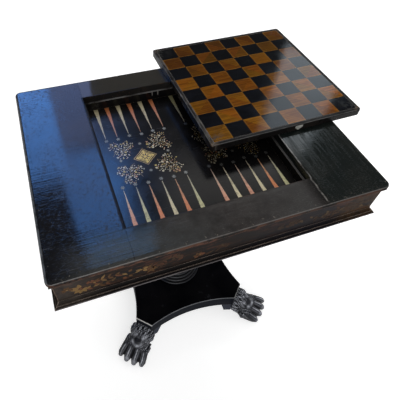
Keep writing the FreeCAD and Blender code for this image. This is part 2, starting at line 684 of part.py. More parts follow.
def chess_panel():
    """The panel about its own centre, lying on z = 0: core, edge strips, squares, plate and pins."""
    core_top = PANEL_THICKNESS - VENEER_THICKNESS
    nodes = {"panel_core": block(-CORE_HALF, CORE_HALF, -CORE_HALF, CORE_HALF, 0, core_top)}
    rounded = rounded_slab(
        PANEL_HALF, PANEL_HALF, 0, PANEL_THICKNESS, PANEL_CORNER_RADIUS, PANEL_EDGE_ROUNDING
    )
    for side in SIDES:
        strip = side_prism(side, CORE_HALF, CORE_HALF, PANEL_EDGE_WIDTH + CUT_OVERRUN, 0, 0, PANEL_THICKNESS)
        nodes["panel_edge_" + side] = rounded.common(strip)

    squares = {"light_squares": [], "dark_squares": []}
    for column in range(SQUARES_ACROSS):
        for row in range(SQUARES_ACROSS):
            x = -CORE_HALF + column * SQUARE_SIZE
            y = -CORE_HALF + row * SQUARE_SIZE
            shade = "light_squares" if (column + row) % 2 == 0 else "dark_squares"
            squares[shade].append(block(x, x + SQUARE_SIZE, y, y + SQUARE_SIZE, core_top, PANEL_THICKNESS))
    for shade, veneers in squares.items():
        nodes[shade] = Part.makeCompound(veneers)

    middle = PLATE_SQUARES_OFFSET * SQUARE_SIZE
    top = (PANEL_THICKNESS + PLATE_HEIGHT) / 2
    shoulder = top - PLATE_HEIGHT * PLATE_SHOULDER_SHARE
    half = PLATE_WIDTH / 2
    shield = [
        (middle - half, top),
        (middle + half, top),
        (middle + half, shoulder),
        (middle, top - PLATE_HEIGHT),
        (middle - half, shoulder),
    ]
    front = -PANEL_HALF + PLATE_INLET - PLATE_THICKNESS
    plate = outline_face(shield, lambda x, z: V(x, front, z)).extrude(V(0, PLATE_THICKNESS, 0))
    nodes["panel_edge_front"] = nodes["panel_edge_front"].cut(plate)
    pins = []
    for x in (middle - PIN_PITCH / 2, middle + PIN_PITCH / 2):
        start = V(x, front, (top + shoulder) / 2)
        hole = Part.makeCylinder(PIN_RADIUS + JOINT_CLEARANCE, PIN_LENGTH, start, V(0, 1, 0))
        pins.append(Part.makeCylinder(PIN_RADIUS, PIN_LENGTH, start, V(0, 1, 0)))
        plate = plate.cut(hole)
        nodes["panel_edge_front"] = nodes["panel_edge_front"].cut(hole)
    nodes["panel_plate"] = plate
    nodes["plate_pins"] = Part.makeCompound(pins)
    for shape in nodes.values():
        shape.rotate(V(0, 0, 0), UP, PANEL_REST_YAW)
        shape.translate(V(PANEL_REST_X, PANEL_REST_Y, TABLE_HEIGHT))
    return nodes


def main():
    nodes = top_frame()
    nodes.update(well())
    nodes.update(apron())
    corner_blocks(nodes)
    bearers(nodes)
    nodes.update(pillar())
    nodes.update(platform())
    bracket_screws(nodes)
    feet(nodes)
    nodes.update(chess_panel())

    box = Part.makeCompound(list(nodes.values())).optimalBoundingBox(False)
    origin = V((box.XMin + box.XMax) / 2, (box.YMin + box.YMax) / 2, 0)
    print("pillar axis in the part's own frame:", -origin.x, -origin.y)
    os.makedirs("parts", exist_ok=True)
    for name, shape in nodes.items():
        shape.translate(-origin)
        shape.exportStep("parts/" + name + ".step")
        box = shape.optimalBoundingBox(False)
        extent = [round(value, 2) for value in (box.XLength, box.YLength, box.ZLength)]
        print(name, len(shape.Solids), shape.isValid(), round(shape.Volume, 1), extent)


main()
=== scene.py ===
"""The games table's looks: worn black lacquer, a painted backgammon board, chess veneers and carved paws."""
import json
import math
import random

import bmesh
import bpy
import numpy as np
from mathutils import Matrix, Vector


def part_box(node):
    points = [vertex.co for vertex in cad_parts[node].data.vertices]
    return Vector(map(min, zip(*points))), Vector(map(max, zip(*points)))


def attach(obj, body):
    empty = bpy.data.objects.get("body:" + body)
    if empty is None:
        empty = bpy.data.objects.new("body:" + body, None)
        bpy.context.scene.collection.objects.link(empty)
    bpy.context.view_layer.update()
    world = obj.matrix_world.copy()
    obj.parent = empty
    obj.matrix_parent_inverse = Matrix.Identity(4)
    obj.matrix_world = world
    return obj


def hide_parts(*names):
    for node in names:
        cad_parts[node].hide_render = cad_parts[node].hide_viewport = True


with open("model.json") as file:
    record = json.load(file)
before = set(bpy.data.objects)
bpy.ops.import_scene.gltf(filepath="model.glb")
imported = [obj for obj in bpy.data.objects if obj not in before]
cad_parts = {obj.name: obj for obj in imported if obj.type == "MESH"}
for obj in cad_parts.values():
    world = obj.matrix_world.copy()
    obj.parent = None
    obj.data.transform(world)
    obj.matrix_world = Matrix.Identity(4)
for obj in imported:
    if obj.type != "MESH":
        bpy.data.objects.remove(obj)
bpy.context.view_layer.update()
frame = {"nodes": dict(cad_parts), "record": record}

MM = 0.001
NODES = frame["nodes"]


def middle(node):
    low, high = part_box(node)
    return (Vector(low) + Vector(high)) / 2


def shown(name, data):
    made = bpy.data.objects.new(name, data)
    bpy.context.collection.objects.link(made)
    return made


# Places read from the frame
AXIS = middle("pillar_socle")
PANEL = middle("panel_core")
PANEL_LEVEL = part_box("panel_edge_front")[1][2]
TOP_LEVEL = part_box("top_left_board")[1][2]
FLOOR_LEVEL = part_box("backgammon_floor")[1][2]
PLATFORM_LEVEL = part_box("platform_slab")[1][2]
LEDGE_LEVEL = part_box("well_lining_back")[1][2]
APRON_LOW = Vector(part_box("apron_front")[0])
APRON_HIGH = Vector(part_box("apron_back")[1])
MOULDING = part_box("base_moulding_front")
MOULDING_LOW = MOULDING[0][2]
MOULDING_HIGH = MOULDING[1][2]
RIGHT_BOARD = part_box("top_right_board")
WELL_HALF = RIGHT_BOARD[0][0] - AXIS.x
TOP_HALF = Vector(RIGHT_BOARD[1]) - AXIS

# Sizes that the boxes don't show: the panel's turn, one chess square, the axis to a canted corner
PANEL_TURN = math.radians(1.2)
SQUARE = 48.5 * MM
CANT_DISTANCE = 241.1 * MM
CREST = "crest"


class Patterns:
    """Short ways to set out nodes in a tree. In a sum, product or maximum, a tuple stands for a span."""

    def __init__(self, tree):
        self.tree = tree

    def put(self, socket, value):
        if isinstance(value, bpy.types.NodeSocket):
            self.tree.links.new(value, socket)
        elif socket.type == "RGBA":
            socket.default_value = (*value, 1)
        else:
            socket.default_value = value

    def node(self, kind, output, inputs, **settings):
        """One output of a new node, with its settings made and its inputs filled."""
        made = self.tree.nodes.new("ShaderNode" + kind)
        for name, value in settings.items():
            setattr(made, name, value)
        for name, value in inputs.items():
            self.put(made.inputs[name], value)
        return made.outputs[output]

    def calc(self, operation, first, second=0):
        return self.node("Math", 0, {0: first, 1: second}, operation=operation)

    def chain(self, operation, values):
        values = [self.span(*value) if isinstance(value, tuple) else value for value in values]
        result = values[0]
        for value in values[1:]:
            result = self.calc(operation, result, value)
        return result

    def times(self, *values):
        return self.chain("MULTIPLY", values)

    def plus(self, *values):
        return self.chain("ADD", values)

    def most(self, *values):
        return self.chain("MAXIMUM", values)

    def minus(self, first, second):
        return self.calc("SUBTRACT", first, second)

    def size(self, value):
        return self.calc("ABSOLUTE", value)

    def span(self, value, start, end, low=0, high=1):
        """Smooth step from low to high while the value goes from start to end."""
        inputs = {"Value": value, "From Min": start, "From Max": end, "To Min": low, "To Max": high}
        return self.node("MapRange", "Result", inputs, interpolation_type="SMOOTHSTEP")

    def line(self, value, centre, wide, core):
        """1 within the core of a line, falling to 0 at its full half width."""
        return self.span(self.size(self.minus(value, centre)), wide, core)

    def split(self, vector):
        node = self.tree.nodes.new("ShaderNodeSeparateXYZ")
        self.put(node.inputs[0], vector)
        return node.outputs[0], node.outputs[1], node.outputs[2]

    def mix(self, share, first, second):
        return self.node("Mix", 2, {0: share, 6: first, 7: second}, data_type="RGBA")


class Shader(Patterns):
    """One Principled material whose patterns are set out in the part's own coordinates, in metres."""

    def __init__(self, name, roughness=0.3, specular=0.4, metallic=0, colour=None):
        self.material = bpy.data.materials.new(name)
        self.material.use_nodes = True
        super().__init__(self.material.node_tree)
        self.surface = self.tree.nodes["Principled BSDF"].inputs
        self.surface["Roughness"].default_value = roughness
        self.surface["Specular IOR Level"].default_value = specular
        self.surface["Metallic"].default_value = metallic
        self.place = self.node("TexCoord", "Object", {})
        self.geometry = self.tree.nodes.new("ShaderNodeNewGeometry").outputs
        self.colour = colour

    def about(self, centre, level=0, turn=0):
        """Coordinates about a centre at a level, turned about Z."""
        origin = (centre.x, centre.y, level)
        inputs = {"Vector": self.place, "Location": origin, "Rotation": (0, 0, turn)}
        return self.node("Mapping", "Vector", inputs, vector_type="TEXTURE")

    def stretched(self, stretch, shift=0, place=None):
        moved = (shift, 1.7 * shift, -0.6 * shift)
        inputs = {"Vector": place or self.place, "Scale": stretch, "Location": moved}
        return self.node("Mapping", "Vector", inputs)

    def noise(self, scale, stretch=(1, 1, 1), detail=5, rough=0.55, warp=0, shift=0, place=None):
        spot = self.stretched(stretch, shift, place)
        inputs = {"Vector": spot, "Scale": scale, "Detail": detail, "Roughness": rough, "Distortion": warp}
        return self.node("TexNoise", "Fac", inputs)

    def cracks(self, scale, stretch):
        """Distance to the nearest line of a crackled net."""
        inputs = {"Vector": self.stretched(stretch), "Scale": scale}
        return self.node("TexVoronoi", "Distance", inputs, feature="DISTANCE_TO_EDGE")

    def layer(self, tint, *shares):
        """Lays the tint over the colour, as far as the product of the shares goes."""
        self.colour = self.mix(self.times(*shares), self.colour, tint)

    def edges(self, radius, start=0.03, end=0.22):
        """1 on the sharp edges, falling to 0 a radius away."""
        eased = self.node("Bevel", "Normal", {"Radius": radius}, samples=6)
        true = self.geometry["Normal"]
        turned = self.node("VectorMath", "Value", {0: eased, 1: true}, operation="DOT_PRODUCT")
        return self.span(self.minus(1, turned), start, end)

    def bump(self, height, distance, strength, under=None):
        inputs = {"Strength": strength, "Distance": distance, "Height": height}
        if under is not None:
            inputs["Normal"] = under
        return self.node("Bump", "Normal", inputs)

    def finish(self, roughness=None, normal=None):
        for name, value in (("Base Color", self.colour), ("Roughness", roughness), ("Normal", normal)):
            if value is not None:
                self.put(self.surface[name], value)
        return self.material


def shaded(colour, share):
    return tuple(share * level for level in colour)


def top_lacquer():
    s = Shader("worn_top_lacquer", specular=0.16)
    x, y, z = s.split(s.about(AXIS))
    across = s.size(x)
    along = s.size(y)
    cloud = s.noise(6, warp=0.6)
    grime = s.noise(32, detail=6, rough=0.65, shift=3.1)
    scratch = s.noise(15, stretch=(1, 24, 1), detail=3, rough=0.6, shift=7.7)
    fleck = s.noise(210, detail=3, rough=0.7, shift=1.3)
    # Ground: greenish on the right board, brown and dusty on the rails with a painted grey sheen towards the
    # right of the front one, and at the front left a grey haze that is partly dust, partly painted reflection
    s.colour = s.mix(s.span(cloud, 0.3, 0.7), (0.0065, 0.0072, 0.009), (0.0155, 0.012, 0.0105))
    right = s.span(x, 0.19, 0.22)
    s.layer((0.0085, 0.0125, 0.011), right, 0.7)
    between = s.span(across, WELL_HALF + 1.5 * MM, WELL_HALF - 1.5 * MM)
    rail = s.times(between, (y, -0.2, -0.21), (x, -0.2, -0.1), (x, 0.206, 0.165))
    s.layer((0.052, 0.046, 0.043), rail, (grime, 0.25, 0.65, 0.4, 1), 0.75)
    # Painted sheen: the front rail turns grey towards its right end
    s.layer((0.064, 0.064, 0.063), rail, (x, -0.05, 0.22), 0.6)
    # Grey haze over the front left: partly dust, partly painted reflection
    dust_and_sheen = s.times((x, 0.02, -0.12), (x, -0.36, -0.27), (y, -0.19, -0.25))
    s.layer((0.048, 0.049, 0.048), dust_and_sheen, (grime, 0.25, 0.6, 0.5, 0.85))
    s.layer((0.035, 0.033, 0.029), between, (y, 0.2, 0.21), 0.8)
    # Fine lines and crackle, most on the left and at the front
    played = s.plus((x, -0.2, -0.34, 0.25, 0.85), (y, -0.12, -0.26, 0, 0.5))
    lines = s.times((scratch, 0.6, 0.7), (grime, 0.42, 0.62), played)
    s.layer((0.085, 0.08, 0.078), lines, 0.55)
    net = s.times((s.cracks(130, (1, 1.9, 1)), 0.05, 0.01), (cloud, 0.42, 0.6), played)
    s.layer((0.085, 0.078, 0.07), net, 0.42)
    specks = s.times((fleck, 0.7, 0.76), (grime, 0.5, 0.62))
    s.layer((0.16, 0.13, 0.1), specks, 0.6)
    # Joints between the boards and the rails, dark, with a pale one at the front right
    sway = s.times(s.minus(s.noise(46, detail=4, shift=9), 0.5), 4.6 * MM)
    off_line = s.size(s.plus(s.minus(across, WELL_HALF), sway))
    past_well = s.span(along, WELL_HALF - 1 * MM, WELL_HALF + 1 * MM)
    joint = s.times((off_line, 1.1 * MM, 0.4 * MM), past_well)
    s.layer((0.004, 0.0035, 0.003), joint, 0.6)
    pale = s.times((off_line, 2.4 * MM, 0.9 * MM), past_well, (x, 0, 0.1), (y, 0, -0.1))
    s.layer((0.26, 0.25, 0.23), pale, (grime, 0.38, 0.52), 0.75)
    # Wear on the nosing and on the well's arrises, with painted shade and painted highlights along the edges
    clear = s.minus(1, s.times((off_line, 9 * MM, 6 * MM), past_well))
    bare = s.span(s.noise(26, rough=0.7, shift=4), 0.46, 0.64)
    rubbed = s.times(s.edges(4 * MM, 0.02, 0.16), clear, bare)
    s.layer((0.105, 0.048, 0.028), rubbed, 0.6)
    arris = s.line(s.plus(x, sway), WELL_HALF + 1.6 * MM, 2.2 * MM, 0.8 * MM)
    arris = s.times(arris, (along, WELL_HALF + 4 * MM, WELL_HALF))
    arris = s.times(arris, (z, TOP_LEVEL - 1.2 * MM, TOP_LEVEL - 0.4 * MM))
    s.layer((0.27, 0.265, 0.255), arris, (grime, 0.34, 0.52), 0.7)
    # Painted shade: a dark band along the well's left edge, flecked with brown
    lip = s.span(s.plus(x, sway), -WELL_HALF - 4.2 * MM, -WELL_HALF - 2.8 * MM)
    lip = s.times(lip, (x, 0, -0.1), (along, WELL_HALF + 3 * MM, WELL_HALF))
    s.layer((0.006, 0.0052, 0.005), lip, 0.85)
    s.layer((0.11, 0.07, 0.045), lip, (fleck, 0.58, 0.68), 0.6)
    start, full = 15 * MM, 9 * MM
    rim_x = s.span(across, TOP_HALF.x - start, TOP_HALF.x - full)
    rim = s.most(rim_x, (along, TOP_HALF.y - start, TOP_HALF.y - full))
    # Painted highlight: a blue-grey line along the left nosing's upper edge
    brink = s.span(x, 5.8 * MM - TOP_HALF.x, 4.4 * MM - TOP_HALF.x)
    brink = s.times(brink, (z, TOP_LEVEL - 5 * MM, TOP_LEVEL - 2.5 * MM))
    s.layer((0.15, 0.165, 0.19), brink, (grime, 0.34, 0.54, 0.15, 1), 0.75)
    chips = s.times(rim, (s.noise(120, detail=4, rough=0.7, shift=12), 0.62, 0.7))
    s.layer((0.23, 0.2, 0.165), chips, 0.7)
    # Painted shade: the nosing's upright face darkened
    side = s.times((z, TOP_LEVEL - 3.5 * MM, TOP_LEVEL - 6.5 * MM), rim)
    s.layer((0.004, 0.0036, 0.0036), side, 0.75)
    # Painted highlights: two pale lines round the nosing, 3.6 and 15.8 mm below the top
    for drop, share in ((3.6, 0.55), (15.8, 0.4)):
        line = s.times(rim, s.line(z, TOP_LEVEL - drop * MM, 1.1 * MM, 0.6 * MM))
        s.layer((0.185, 0.17, 0.16), line, (grime, 0.3, 0.5, 0.3, 1), share)
    nose = s.times(side, (grime, 0.4, 0.58), (x, 0.15, -0.15, 0.5, 0.85))
    s.layer((0.11, 0.05, 0.031), nose)
    mottle = s.span(s.noise(190, stretch=(0.7, 1.2, 1), rough=0.75, shift=5.1), 0.53, 0.61)
    mottle = s.times(mottle, (x, -0.18, -0.22), (cloud, 0.36, 0.58, 0.35, 1))
    s.layer((0.048, 0.045, 0.043), mottle, 0.55)
    # Gloss, dulled by scratches, brush strokes, crackle and mottling
    strokes = s.noise(13, stretch=(15, 1, 1), detail=4, rough=0.6, shift=6.6)
    crackle = s.times((s.cracks(150, (0.45, 1.5, 1)), 0.07, 0), (grime, 0.36, 0.56), played)
    rough = s.plus((cloud, 0.25, 0.75, 0.02, 0.07), s.times(lines, 0.2), s.times(rubbed, 0.2))
    rough = s.plus(rough, s.times(right, (strokes, 0.4, 0.62), 0.22))
    rough = s.most(rough, side, s.times(lip, 0.5))
    rough = s.plus(rough, s.times(crackle, 0.45), s.times(mottle, 0.45))
    height = s.minus(s.times(s.noise(60, detail=4), 0.5), s.times(lines, 0.3))
    height = s.minus(height, s.times(joint, 0.8))
    wrinkle = s.noise(190, stretch=(0.045, 1.5, 1), detail=2, rough=0.6, shift=2.5)
    wrinkle = s.times(wrinkle, s.plus(played, 0.04))
    return s.finish(rough, s.bump(wrinkle, 0.5 * MM, 0.38, s.bump(height, 0.4 * MM, 0.07)))


def well_lacquer():
    s = Shader("glossy_well_lacquer", specular=0.21)
    x, y, z = s.split(s.about(AXIS, LEDGE_LEVEL))
    cloud = s.noise(9, warp=0.5)
    grime = s.noise(60, detail=6, rough=0.65, shift=2)
    scratch = s.noise(13, stretch=(1, 26, 1), detail=3, shift=5.5)
    s.colour = s.mix(s.span(cloud, 0.3, 0.7), (0.004, 0.0042, 0.005), (0.0125, 0.0105, 0.009))
    lines = s.times((scratch, 0.62, 0.72), (grime, 0.45, 0.6))
    s.layer((0.06, 0.056, 0.05), lines, 0.35)
    rubbed = s.times(s.edges(1.6 * MM, 0.05, 0.2), (grime, 0.34, 0.52))
    s.layer((0.25, 0.205, 0.155), rubbed, 0.8)
    # The ledge is worn pale at the back and on the right, and dark on the left
    far = s.most((y, 0.195, 0.201, 0.25, 1), (x, 0.195, 0.201, 0, 0.45))
    worn = s.span(s.noise(16, rough=0.6, shift=8), 0.3, 0.55)
    s.layer((0.27, 0.262, 0.255), s.line(z, 0, 0.9 * MM, 0.4 * MM), far, worn, 0.85)
    near = s.times(s.line(z, 0, 3 * MM, 1.5 * MM), (x, -0.19, -0.196))
    s.layer((0.004, 0.0036, 0.0036), near, 0.85)
    # Two pale upright marks on the back lining
    marks = s.most(s.line(x, -22 * MM, 1.3 * MM, 0.8 * MM), s.line(x, -6 * MM, 1.6 * MM, 1 * MM))
    marks = s.times(marks, (y, 0.198, 0.2), (z, -14 * MM, -10 * MM))
    s.layer((0.33, 0.32, 0.3), marks, 0.8)
    rough = s.plus((cloud, 0.25, 0.75, 0.13, 0.24), s.times(lines, 0.15))
    rough = s.most(rough, s.times(near, 0.85))
    return s.finish(rough, s.bump(s.noise(70, detail=4), 0.4 * MM, 0.22))


def apron_lacquer():
    s = Shader("worn_apron_lacquer", specular=0.02)
    x, y, z = s.split(s.about(AXIS))
    cloud = s.noise(7, stretch=(1, 1, 2.5), warp=0.7)
    streak = s.noise(11, stretch=(1, 1, 9), rough=0.65, shift=2.2)
    grime = s.noise(55, detail=6, rough=0.7, shift=6)
    s.colour = s.mix(s.span(cloud, 0.35, 0.65), (0.0055, 0.0054, 0.0062), (0.0125, 0.0086, 0.0068))
    brown = s.times((streak, 0.49, 0.63), (grime, 0.36, 0.58))
    s.layer((0.062, 0.027, 0.016), brown, 0.8)
    # Plain dark moulding, red-brown wear under the top, paler wear above the moulding
    flat = s.span(z, MOULDING_HIGH - 1 * MM, MOULDING_HIGH + 3 * MM)
    s.layer((0.007, 0.0062, 0.0062), s.minus(1, flat))
    red = s.span(s.noise(20, stretch=(1, 1, 3), shift=8), 0.5, 0.62)
    red = s.times(red, (z, APRON_HIGH.z - 30 * MM, APRON_HIGH.z - 6 * MM))
    s.layer((0.12, 0.044, 0.026), red, 0.7)
    worn = s.span(s.noise(28, stretch=(1, 1, 5), shift=11), 0.5, 0.62)
    worn = s.times(worn, flat, (z, APRON_LOW.z + 34 * MM, APRON_LOW.z + 12 * MM))
    s.layer((0.11, 0.06, 0.03), worn, 0.3)
    # The front is cooler right of its middle and warmer at both ends
    front = s.span(y, -0.2, -0.22)
    cooler = s.times(front, (x, -0.05, 0.2), (x, 0.3, 0.24))
    s.layer((0.0085, 0.008, 0.011), cooler, 0.55)
    warmer = s.times(front, (x, 0.24, 0.31), (grime, 0.34, 0.58))
    s.layer((0.056, 0.03, 0.014), warmer, 0.6)
    # Left end lighter: wear and a painted highlight by the corner
    end = s.times(front, (x, -0.25, -0.34), (grime, 0.3, 0.6, 0.3, 1))
    s.layer((0.058, 0.046, 0.038), end, 0.6)
    # Pale line along the moulding's bead, worn and painted as a highlight, stronger on the left; then the
    # rubbed edges
    bead = s.span(z, MOULDING_LOW + 1 * MM, MOULDING_LOW + 2.4 * MM)
    bead = s.times(bead, (z, MOULDING_LOW + 7.2 * MM, MOULDING_LOW + 5.6 * MM))
    patchy_bead = s.span(s.noise(18, stretch=(1, 1, 4), detail=4, shift=3.3), 0.3, 0.55, 0.4, 1)
    s.layer((0.165, 0.148, 0.15), bead, patchy_bead, (x, -0.2, 0.1, 0.75, 0.35))
    bare = s.span(s.noise(22, rough=0.7, shift=1), 0.3, 0.62, 0.25, 1)
    wood = s.mix(flat, (0.3, 0.235, 0.195), (0.185, 0.125, 0.09))
    s.layer(wood, s.edges(2.2 * MM, 0.03, 0.18), bare, 0.85)
    rough = s.plus((cloud, 0.3, 0.7, 0.3, 0.42), s.times(brown, 0.12))
    height = s.plus(s.times(grime, 0.5), s.times(s.noise(14, detail=4), 0.6))
    return s.finish(rough, s.bump(height, 0.5 * MM, 0.35))


def base_lacquer(name, specular, tone=1):
    """Black lacquer of the base, its upward faces kept darker than its upright ones as painted shade; tone
    scales the upright faces as painted light.
    """
    s = Shader(name, specular=specular)
    x, y, z = s.split(s.about(AXIS, PLATFORM_LEVEL))
    upward = s.split(s.geometry["Normal"])[2]
    cloud = s.noise(11, warp=0.5)
    grime = s.noise(48, detail=6, rough=0.7, shift=3)
    mottle = s.span(cloud, 0.3, 0.7)
    # Painted shade and light: upward faces near black, upright faces lighter by the tone factor
    s.colour = s.mix(mottle, (0.0016, 0.0017, 0.0026), (0.0045, 0.0043, 0.0052))
    dust = s.times((grime, 0.58, 0.72), (cloud, 0.45, 0.6))
    s.layer((0.06, 0.06, 0.066), dust, 0.25)
    side = s.mix(mottle, shaded((0.0065, 0.0078, 0.0115), tone), shaded((0.0125, 0.0135, 0.0175), tone))
    s.layer(side, (upward, 0.9, 0.5))
    # Rubbed edges, a painted highlight line along the platform's arris, and a bright line over its cants,
    # rubbed and painted as a highlight, brightest at the front left
    bare = s.span(s.noise(30, rough=0.7, shift=5), 0.28, 0.5, 0.2, 1)
    rubbed = s.times(s.edges(3.2 * MM, 0.02, 0.12), bare)
    s.layer((0.12, 0.123, 0.13), rubbed, 0.8)
    # Painted highlight: a pale strip at the top of the platform's upright faces
    arris = s.times((z, -3.4 * MM, -1.8 * MM), (z, 1 * MM, 0.2 * MM), (upward, 0.96, 0.8))
    s.layer((0.15, 0.155, 0.165), arris, (grime, 0.26, 0.5, 0.25, 1))
    # Over the cants a bright line, rubbed and painted as a highlight, strongest near the front left
    reach = s.plus(s.size(x), s.size(y))
    cant_reach = CANT_DISTANCE * 2 ** 0.5
    cant = s.span(reach, cant_reach - 4.2 * MM, cant_reach - 2.8 * MM)
    cant = s.times(cant, (z, -3 * MM, -1.8 * MM), (grime, 0.3, 0.45))
    near = s.times((x, 0.1, -0.1), (y, 0.1, -0.1))
    s.layer((0.56, 0.55, 0.53), cant, s.plus(s.times(near, 0.7), 0.3))
    rough = s.plus((cloud, 0.3, 0.7, 0.34, 0.46), s.times(rubbed, 0.15))
    return s.finish(rough, s.bump(grime, 0.5 * MM, 0.25))


def carved_lacquer():
    """Black lacquer, with painted shade in the hollows, and crests of the carving rubbed bright and lit by a
    painted highlight.
    """
    s = Shader("rubbed_and_highlit_carved_lacquer", specular=0.14)
    cloud = s.noise(42, warp=0.4)
    grime = s.noise(150, rough=0.7, shift=3)
    point = s.geometry["Pointiness"]
    crest = s.node("Attribute", "Fac", {}, attribute_name=CREST)
    s.colour = s.mix(s.span(cloud, 0.3, 0.7), (0.0058, 0.0066, 0.01), (0.021, 0.0214, 0.027))
    # Convex parts lighter: rubbing and painted highlight
    soft = s.times((point, 0.5, 0.535), (cloud, 0.36, 0.62))
    s.layer((0.085, 0.088, 0.1), soft, 0.5)
    high = s.times((point, 0.525, 0.57), (grime, 0.36, 0.58), (cloud, 0.4, 0.58))
    s.layer((0.33, 0.34, 0.37), high, 0.75)
    # Marked crests rubbed silver, with a painted bluish highlight
    rubbed = s.times(crest, (grime, 0.28, 0.5), (cloud, 0.34, 0.54, 0.45, 1))
    s.layer((0.56, 0.58, 0.64), rubbed, 0.95)
    # Painted shade: the hollows darker still
    s.layer((0.002, 0.002, 0.0026), (point, 0.49, 0.465))
    return s.finish(s.span(cloud, 0.3, 0.7, 0.3, 0.42), s.bump(grime, 0.6 * MM, 0.4))


def panel_lacquer():
    s = Shader("worn_panel_lacquer", specular=0.05)
    x, y, z = s.split(s.about(PANEL, turn=PANEL_TURN))
    across = s.size(x)
    along = s.size(y)
    cloud = s.noise(14, warp=0.6)
    grime = s.noise(60, detail=6, rough=0.7, shift=2)
    streak = s.noise(24, stretch=(5, 1, 1), rough=0.65, shift=4)
    s.colour = s.mix(s.span(cloud, 0.3, 0.7), (0.0055, 0.0052, 0.0055), (0.0135, 0.011, 0.0095))
    # Pale streaks on the left edge: wear and painted glare
    left = s.times((x, -0.188, -0.196), (streak, 0.46, 0.62))
    s.layer((0.12, 0.11, 0.098), left, 0.6)
    upper = s.span(z, PANEL_LEVEL - 4.5 * MM, PANEL_LEVEL - 2 * MM)
    bare = s.span(s.noise(34, rough=0.7, shift=7), 0.3, 0.48)
    rubbed = s.times(s.edges(2 * MM, 0.05, 0.2), bare, upper, (x, -0.15, -0.2, 0.42, 0.8))
    s.layer((0.33, 0.315, 0.295), rubbed)
    # Broken pale lines along the border, chips at the corners
    broken = s.span(s.noise(19, rough=0.65, shift=9), 0.34, 0.56)
    for reach, wide, share in ((196, 0.9, 0.16), (199.8, 0.8, 0.06), (202.6, 1, 0.3)):
        line = s.line(s.most(across, along), reach * MM, wide * MM, 0.5 * wide * MM)
        s.layer((0.3, 0.295, 0.29), line, upper, broken, share)
    corner = s.times((across, 0.18, 0.2), (along, 0.18, 0.2))
    s.layer((0.2, 0.14, 0.09), corner, (grime, 0.42, 0.54), upper, 0.5)
    rough = s.plus((cloud, 0.3, 0.7, 0.24, 0.36), s.times(rubbed, 0.2))
    return s.finish(rough, s.bump(grime, 0.4 * MM, 0.3))


def veneer(name, deep, bright, margin, shift):
    """Square veneers: grain along X, each square a little different, with a rubbed margin round it."""
    s = Shader(name, specular=0.15)
    place = s.about(PANEL, turn=PANEL_TURN)
    x, y = s.split(place)[:2]
    # Each square comes from another part of the sheet
    island = s.geometry["Random Per Island"]
    slide = s.node("CombineXYZ", 0, {0: s.times(island, 7), 1: s.times(island, 0.9)})
    own = s.node("VectorMath", "Vector", {0: place, 1: slide}, operation="ADD")
    grain = s.noise(9, stretch=(1, 26, 1), detail=6, rough=0.6, warp=0.35, shift=shift, place=own)
    pores = s.noise(70, stretch=(1, 9, 1), detail=3, rough=0.6, shift=shift + 2, place=own)
    flame = s.noise(16, stretch=(1, 3, 1), detail=4, warp=0.9, shift=shift + 5, place=own)
    s.colour = s.mix(s.span(grain, 0.3, 0.7), deep, bright)
    s.layer(deep, (flame, 0.4, 0.66), 0.35)
    s.layer(shaded(deep, 0.35), (pores, 0.6, 0.7), 0.45)
    s.layer(shaded(deep, 0.45), (y, -0.03, 0.15, 0, 0.62))
    hue = s.span(s.calc("FRACT", s.times(island, 7.31)), 0, 1, 0.488, 0.506)
    inputs = {"Hue": hue, "Value": s.span(island, 0, 1, 0.7, 1.25), "Color": s.colour}
    s.colour = s.node("HueSaturation", "Color", inputs)
    # Margin and seam of a square, then the scuffed corners of the board
    inside = [s.size(s.minus(s.calc("FRACT", s.calc("DIVIDE", value, SQUARE)), 0.5)) for value in (x, y)]
    reach = s.most(*inside)
    rim = s.times((reach, 0.425, 0.475), (s.noise(45, detail=4, shift=1), 0.3, 0.6))
    s.layer(margin, rim, 0.55)
    s.layer((0.004, 0.003, 0.003), (reach, 0.491, 0.497), 0.7)
    corner = s.times((s.size(x), 0.15, 0.185), (s.size(y), 0.15, 0.185))
    scuffs = s.span(s.noise(75, detail=6, rough=0.7, shift=5), 0.44, 0.6)
    s.layer((0.06, 0.062, 0.058), corner, scuffs, 0.55)
    haze = s.noise(22, rough=0.65, shift=3)
    return s.finish(s.span(haze, 0.3, 0.7, 0.07, 0.13), s.bump(grain, 0.3 * MM, 0.2))


def carcass_wood():
    s = Shader("bare_carcass_wood", roughness=0.62, specular=0.3)
    grain = s.noise(10, stretch=(1, 14, 14), detail=6, rough=0.6, warp=0.5)
    stain = s.noise(9, shift=4)
    s.colour = s.mix(s.span(grain, 0.3, 0.7), (0.135, 0.07, 0.034), (0.3, 0.175, 0.09))
    s.layer((0.07, 0.04, 0.024), (stain, 0.45, 0.7), 0.5)
    return s.finish(s.span(grain, 0.3, 0.7, 0.55, 0.72), s.bump(grain, 0.6 * MM, 0.4))


def metal(name, dark, light, roughness, metallic=1):
    s = Shader(name, metallic=metallic, specular=0.5)
    cloud = s.noise(180, rough=0.65)
    s.colour = s.mix(s.span(cloud, 0.3, 0.7), dark, light)
    s.layer(shaded(light, 1.35), s.edges(0.8 * MM), 0.5)
    rough = s.span(cloud, 0.3, 0.7, roughness - 0.08, roughness + 0.1)
    return s.finish(rough, s.bump(cloud, 0.3 * MM, 0.3))


